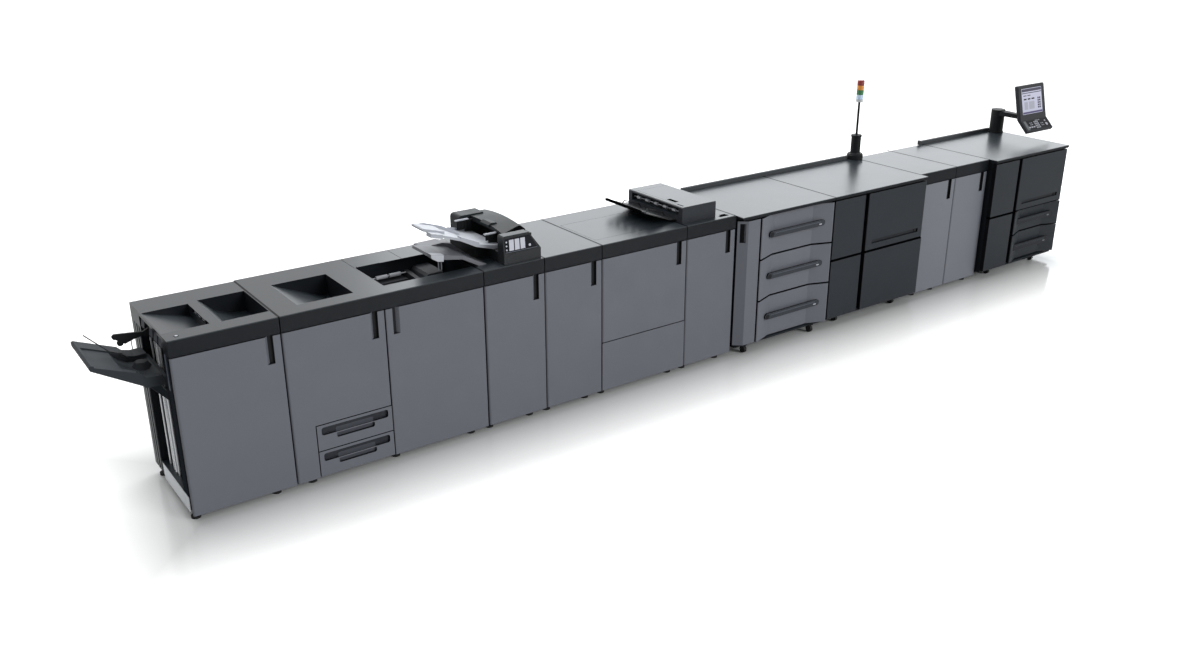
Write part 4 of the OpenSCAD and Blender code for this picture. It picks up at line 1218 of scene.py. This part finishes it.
@dataclass
class RearTrim:
    """Screws round the modules' backs and louvres on the main engine's right end."""

    module_edges: tuple[float, ...] = (0.0, 577.0, 1175.0, 1814.0, 2239.0, 2670.0, 3365.0, 3798.0)
    back_y: float = 705.0
    first_back_y: float = 690.0
    end_x: float = 7608.0
    screw_inset: float = 24.0
    screw_rows: tuple[float, ...] = (110.0, 370.0, 640.0, 910.0)
    # The louvres' first place, their steps to the back and up, and how many there are of each
    louvre_start: Spot = (210.0, 150.0)
    louvre_step: Spot = (165.0, 14.0)
    louvre_count: tuple[int, int] = (3, 12)

    def screw_places(self) -> list[Vector]:
        """Gives the screws' places, four rows at each module's two edges.

        Returns:
            The places, in metres.
        """
        places: list[Vector] = []
        for left, right in zip(self.module_edges, self.module_edges[1:]):
            back = self.first_back_y if left == 0 else self.back_y
            for x in (left + self.screw_inset, right - self.screw_inset):
                places += [on_line(x, back + 0.4, z) for z in self.screw_rows]
        return places

    def build(self, steel: Material, dark: Material) -> None:
        """Builds the screws and the louvres.

        Args:
            steel: the screws' material.
            dark: the louvres' material.
        """
        row = Row("rear_screws", Repeated.SCREW, (0.011, 0.011, 0.004), (-math.pi / 2, 0, 0))
        new_piece("rear_screws", row.make(self.screw_places(), steel), LINE, "rod_steel", steel)
        (y, z), (back, up), (blocks, rows) = self.louvre_start, self.louvre_step, self.louvre_count
        grid = [(y + back * block, z + up * row) for block in range(blocks) for row in range(rows)]
        slats = [on_line(self.end_x + 0.8, *place) for place in grid]
        louvres = Row("end_louvres", Repeated.SLAT, (0.003, 0.14, 0.005), (0.0, 0.5, 0.0))
        new_piece("end_louvres", louvres.make(slats, dark), LINE, "engine_charcoal", dark)


@dataclass
class Studio:
    """The floor, the lights, the background and the camera."""

    eye: Point = (-4.9395, -5.744, 3.184)
    turn: float = 35.87
    drop: float = 21.92
    lens: float = 33.52
    # The box round the modules' feet that the floor's painted shadow is measured from, from low to high, in
    # metres
    shadow_box: tuple[tuple[str, float, float], ...] = (("X", -3.63, 3.92), ("Y", -0.345, 0.40))
    floor_size: float = 70.0

    def _away(self, tree: Tree) -> Socket:
        """Gives how far a place on the floor is from the box that its painted shadow is measured from.

        Args:
            tree: the floor's tree.

        Returns:
            The distance, in metres.
        """
        place = tree.place()
        gaps = []
        for axis, low, high in self.shadow_box:
            offset = tree.maths("SUBTRACT", tree.axis(place, axis), (low + high) / 2)
            gaps.append(tree.maths("SUBTRACT", tree.maths("ABSOLUTE", offset), (high - low) / 2))
        return tree.maths("MAXIMUM", *gaps)

    def floor(self) -> None:
        """Lays the pale floor, which keeps the line's shadow and a soft reflection; its glow to the eye is
        held low close to the line, a painted shadow round it.
        """
        size = self.floor_size
        corners = [(-size, -size, 0), (size, -size, 0), (size, size, 0), (-size, size, 0)]
        mesh = bpy.data.meshes.new("floor")
        mesh.from_pydata(corners, [], [(0, 1, 2, 3)])
        plate = bpy.data.objects.new("floor", mesh)
        bpy.context.scene.collection.objects.link(plate)
        tree = Tree(bpy.data.materials.new("floor_pale"))
        ground = tree.add(
            "BsdfPrincipled", Roughness=0.12, Base_Color=(0.62, 0.63, 0.63, 1), Specular_IOR_Level=0.5
        )
        # Glow seen only by the eye, none 2 cm from the box and full 54 cm away: a painted shadow round the
        # line on top of the lamps' own shadow
        lift = tree.add("Emission", Strength=tree.spread(self._away(tree), 0.0, 0.64, 0.02, 0.54))
        seen = tree.add("MixShader", Fac=tree.add("LightPath").outputs["Is Camera Ray"])
        both = tree.add("AddShader")
        for source, node, entry in ((ground, both, 0), (lift, both, 1), (ground, seen, 1), (both, seen, 2)):
            tree.feed(node.inputs[entry], source.outputs[0])
        mesh.materials.append(tree.close(seen))

    def world(self) -> None:
        """Fills the room with pale light, white to the eye and in reflections."""
        room = bpy.data.worlds.new("room")
        bpy.context.scene.world = room
        tree = Tree(room, "OutputWorld")
        path = tree.add("LightPath").outputs
        either = tree.maths("MAXIMUM", path["Is Camera Ray"], path["Is Glossy Ray"])
        mix = tree.add("MixShader", Fac=either)
        for entry, strength in ((1, 0.42), (2, 1.0)):
            light = tree.add("Background", Color=(1, 1, 1, 1), Strength=strength)
            tree.feed(mix.inputs[entry], light.outputs["Background"])
        tree.close(mix)

    def lamps(self) -> None:
        """Hangs a low fill at the front right, a soft box overhead and one behind the line."""
        fill = self._hang("front_fill", "SUN", 1.7, (0, 0, 4), (0.40, -0.80, 0.38))
        fill.angle = math.radians(30)
        over = self._hang("overhead_box", "AREA", 620.0, (0.5, 3.6, 6.0), (0.0, 0.5, 1.0))
        over.shape, over.size, over.size_y = "RECTANGLE", 14.0, 3.5
        behind = self._hang("rear_box", "AREA", 352.0, (9.0, 7.5, 4.2), (0.25, 1.0, 0.25))
        behind.shape, behind.size, behind.size_y = "RECTANGLE", 15.0, 5.0
        behind.color = (0.90, 0.955, 1.0)

    def _hang(self, name: str, kind: str, energy: float, place: Point, away: Point) -> bpy.types.Light:
        """Hangs a lamp that the camera doesn't see.

        Args:
            name: the lamp's name.
            kind: SUN or AREA.
            energy: its strength.
            place: where it hangs, in metres.
            away: the direction that it shines from.

        Returns:
            The light, for its other settings.
        """
        light = bpy.data.lights.new(name, kind)
        light.energy = energy
        lamp = bpy.data.objects.new(name, light)
        lamp.location = place
        lamp.rotation_euler = Vector(away).to_track_quat("Z", "Y").to_euler()
        lamp.visible_camera = False
        bpy.context.scene.collection.objects.link(lamp)
        return light

    def camera(self) -> None:
        """Stands the camera in front of the line's left end, looking along it."""
        lens = bpy.data.cameras.new("eye")
        lens.lens = self.lens
        lens.sensor_width = 36.0
        lens.clip_end = 300.0
        eye = bpy.data.objects.new("eye", lens)
        eye.location = self.eye
        eye.rotation_euler = (math.radians(90 - self.drop), 0, math.radians(-self.turn))
        bpy.context.scene.collection.objects.link(eye)
        bpy.context.scene.camera = eye

    def build(self) -> None:
        """Sets up the whole studio."""
        self.floor()
        self.world()
        self.lamps()
        self.camera()
        bpy.context.scene.view_settings.view_transform = "Standard"
        log.info("studio ready")


def main() -> None:
    """Dresses the whole line and keeps its sizes."""
    materials = {slot: finish.build() for slot, finish in SLOT_FINISHES.items()}
    clad_frame(materials)
    log.info("frame clad in %d finishes", len(materials))
    PanelFace().build()
    black = materials["black_plastic"]
    # Painted shade in the doors' finger pockets
    for pull in (
        DoorPull("finisher_door", 490), DoorPull("binder_left_door", 1088),
        DoorPull("binder_right_door", 1220, steep_right=False), DoorPull("folder_door", 2152),
        DoorPull("punch_door", 2583), DoorPull("stacker_door", 3278), DoorPull("relay_door", 3711),
        DoorPull("bridge_left_door", 6097, 20, 934), DoorPull("bridge_right_door", 6509, 20, 934),
    ):
        pull.build(black)
    # The deepest painted shade: in the side door's bevelled pocket, which faces the light, and in the
    # joints between the tops
    deep_shade_black = Moulding("deep_shade_black", (11, 12, 14), specular=0.06).build()
    BevelPull().build(deep_shade_black)
    JointSeals().build(deep_shade_black)
    rail, lid, end_plate = (
        frame["nodes"][node].data.materials[0]
        for node in ("rear_rails", "feeder_cabinet", "finisher_end_plate")
    )
    # Matt black for the painted shade in the slots and on the hood's corner, and for the exit tray's tip
    pit_shade_and_tip_black = Moulding("pit_shade_and_tip_black", (8, 9, 10), Gloss.MATT, specular=0.0).build()
    SmallForms().build(pit_shade_and_tip_black, rail, lid)
    # Matt painted shade for the finisher's left end, which faces away from the light
    end_shade_paint = Moulding("end_painted_shade", (40, 44, 49), Gloss.MATT, specular=0.0).build()
    end_strip = Moulding("end_strip_plastic", (84, 89, 98), Gloss.FINE_GRAIN, specular=0.05).build()
    EndTrim().build(end_shade_paint, end_plate, end_strip)
    PaleTouches().build(Moulding("pale_block_plastic", (182, 185, 192), drift=0.06).build())
    # Painted shade in the binder drawers' pockets, paler in the tab
    pull_lining = Moulding("drawer_pull_lining", (36, 39, 45), specular=0.2).build()
    tab_lining = Moulding("drawer_tab_lining", (66, 69, 76), specular=0.2).build()
    for drawer, top in (("binder_upper_drawer", 354), ("binder_lower_drawer", 193)):
        DrawerPull(drawer, top).build(pull_lining, tab_lining)
    # The grips' painted shade and painted highlights; the main engine's are darker
    lining = Moulding("grip_lining", (50, 54, 60), specular=0.2).build()
    highlight_rim = Moulding("grip_highlight_rim", (74, 79, 87), specular=0.25).build()
    for drawer, foot in (("top", 832), ("middle", 523), ("bottom", 214)):
        grip = DrawerGrip(f"feeder_{drawer}_drawer", (4093, 4644), (foot, foot + 45))
        grip.build(lining, highlight_rim, black, materials["pale_plastic"])
    engine_lining = Moulding("engine_grip_lining", (30, 33, 38), specular=0.15).build()
    engine_highlight_rim = Moulding("engine_grip_highlight_rim", (46, 50, 56), specular=0.15).build()
    for drawer, level in (("upper", (411, 460)), ("lower", (176, 230))):
        grip = DrawerGrip(f"main_engine_{drawer}_drawer", (6984, 7526), level)
        grip.build(engine_lining, engine_highlight_rim, black, materials["tray_grey"])
    field_paint = Moulding("key_field_paint", (16, 18, 24), specular=0.1).build()
    # The key field's pale foot strip is a painted highlight
    field_highlight = Moulding("key_field_painted_highlight", (92, 96, 106), Gloss.FINE_GRAIN).build()
    KeyField().build(field_paint, field_highlight)
    # Painted shade in the engine doors' grooves
    groove = Moulding("groove_shade_lining", (30, 33, 37), specular=0.15).build()
    DoorGroove("second_engine_door", 5151, 5679).build(groove, black)
    DoorGroove("main_engine_door", 7025, 7530).build(groove, black)
    RearTrim().build(materials["rod_steel"], materials["engine_charcoal"])
    Studio().build()
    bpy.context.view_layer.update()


if __name__ == "__main__":
    main()
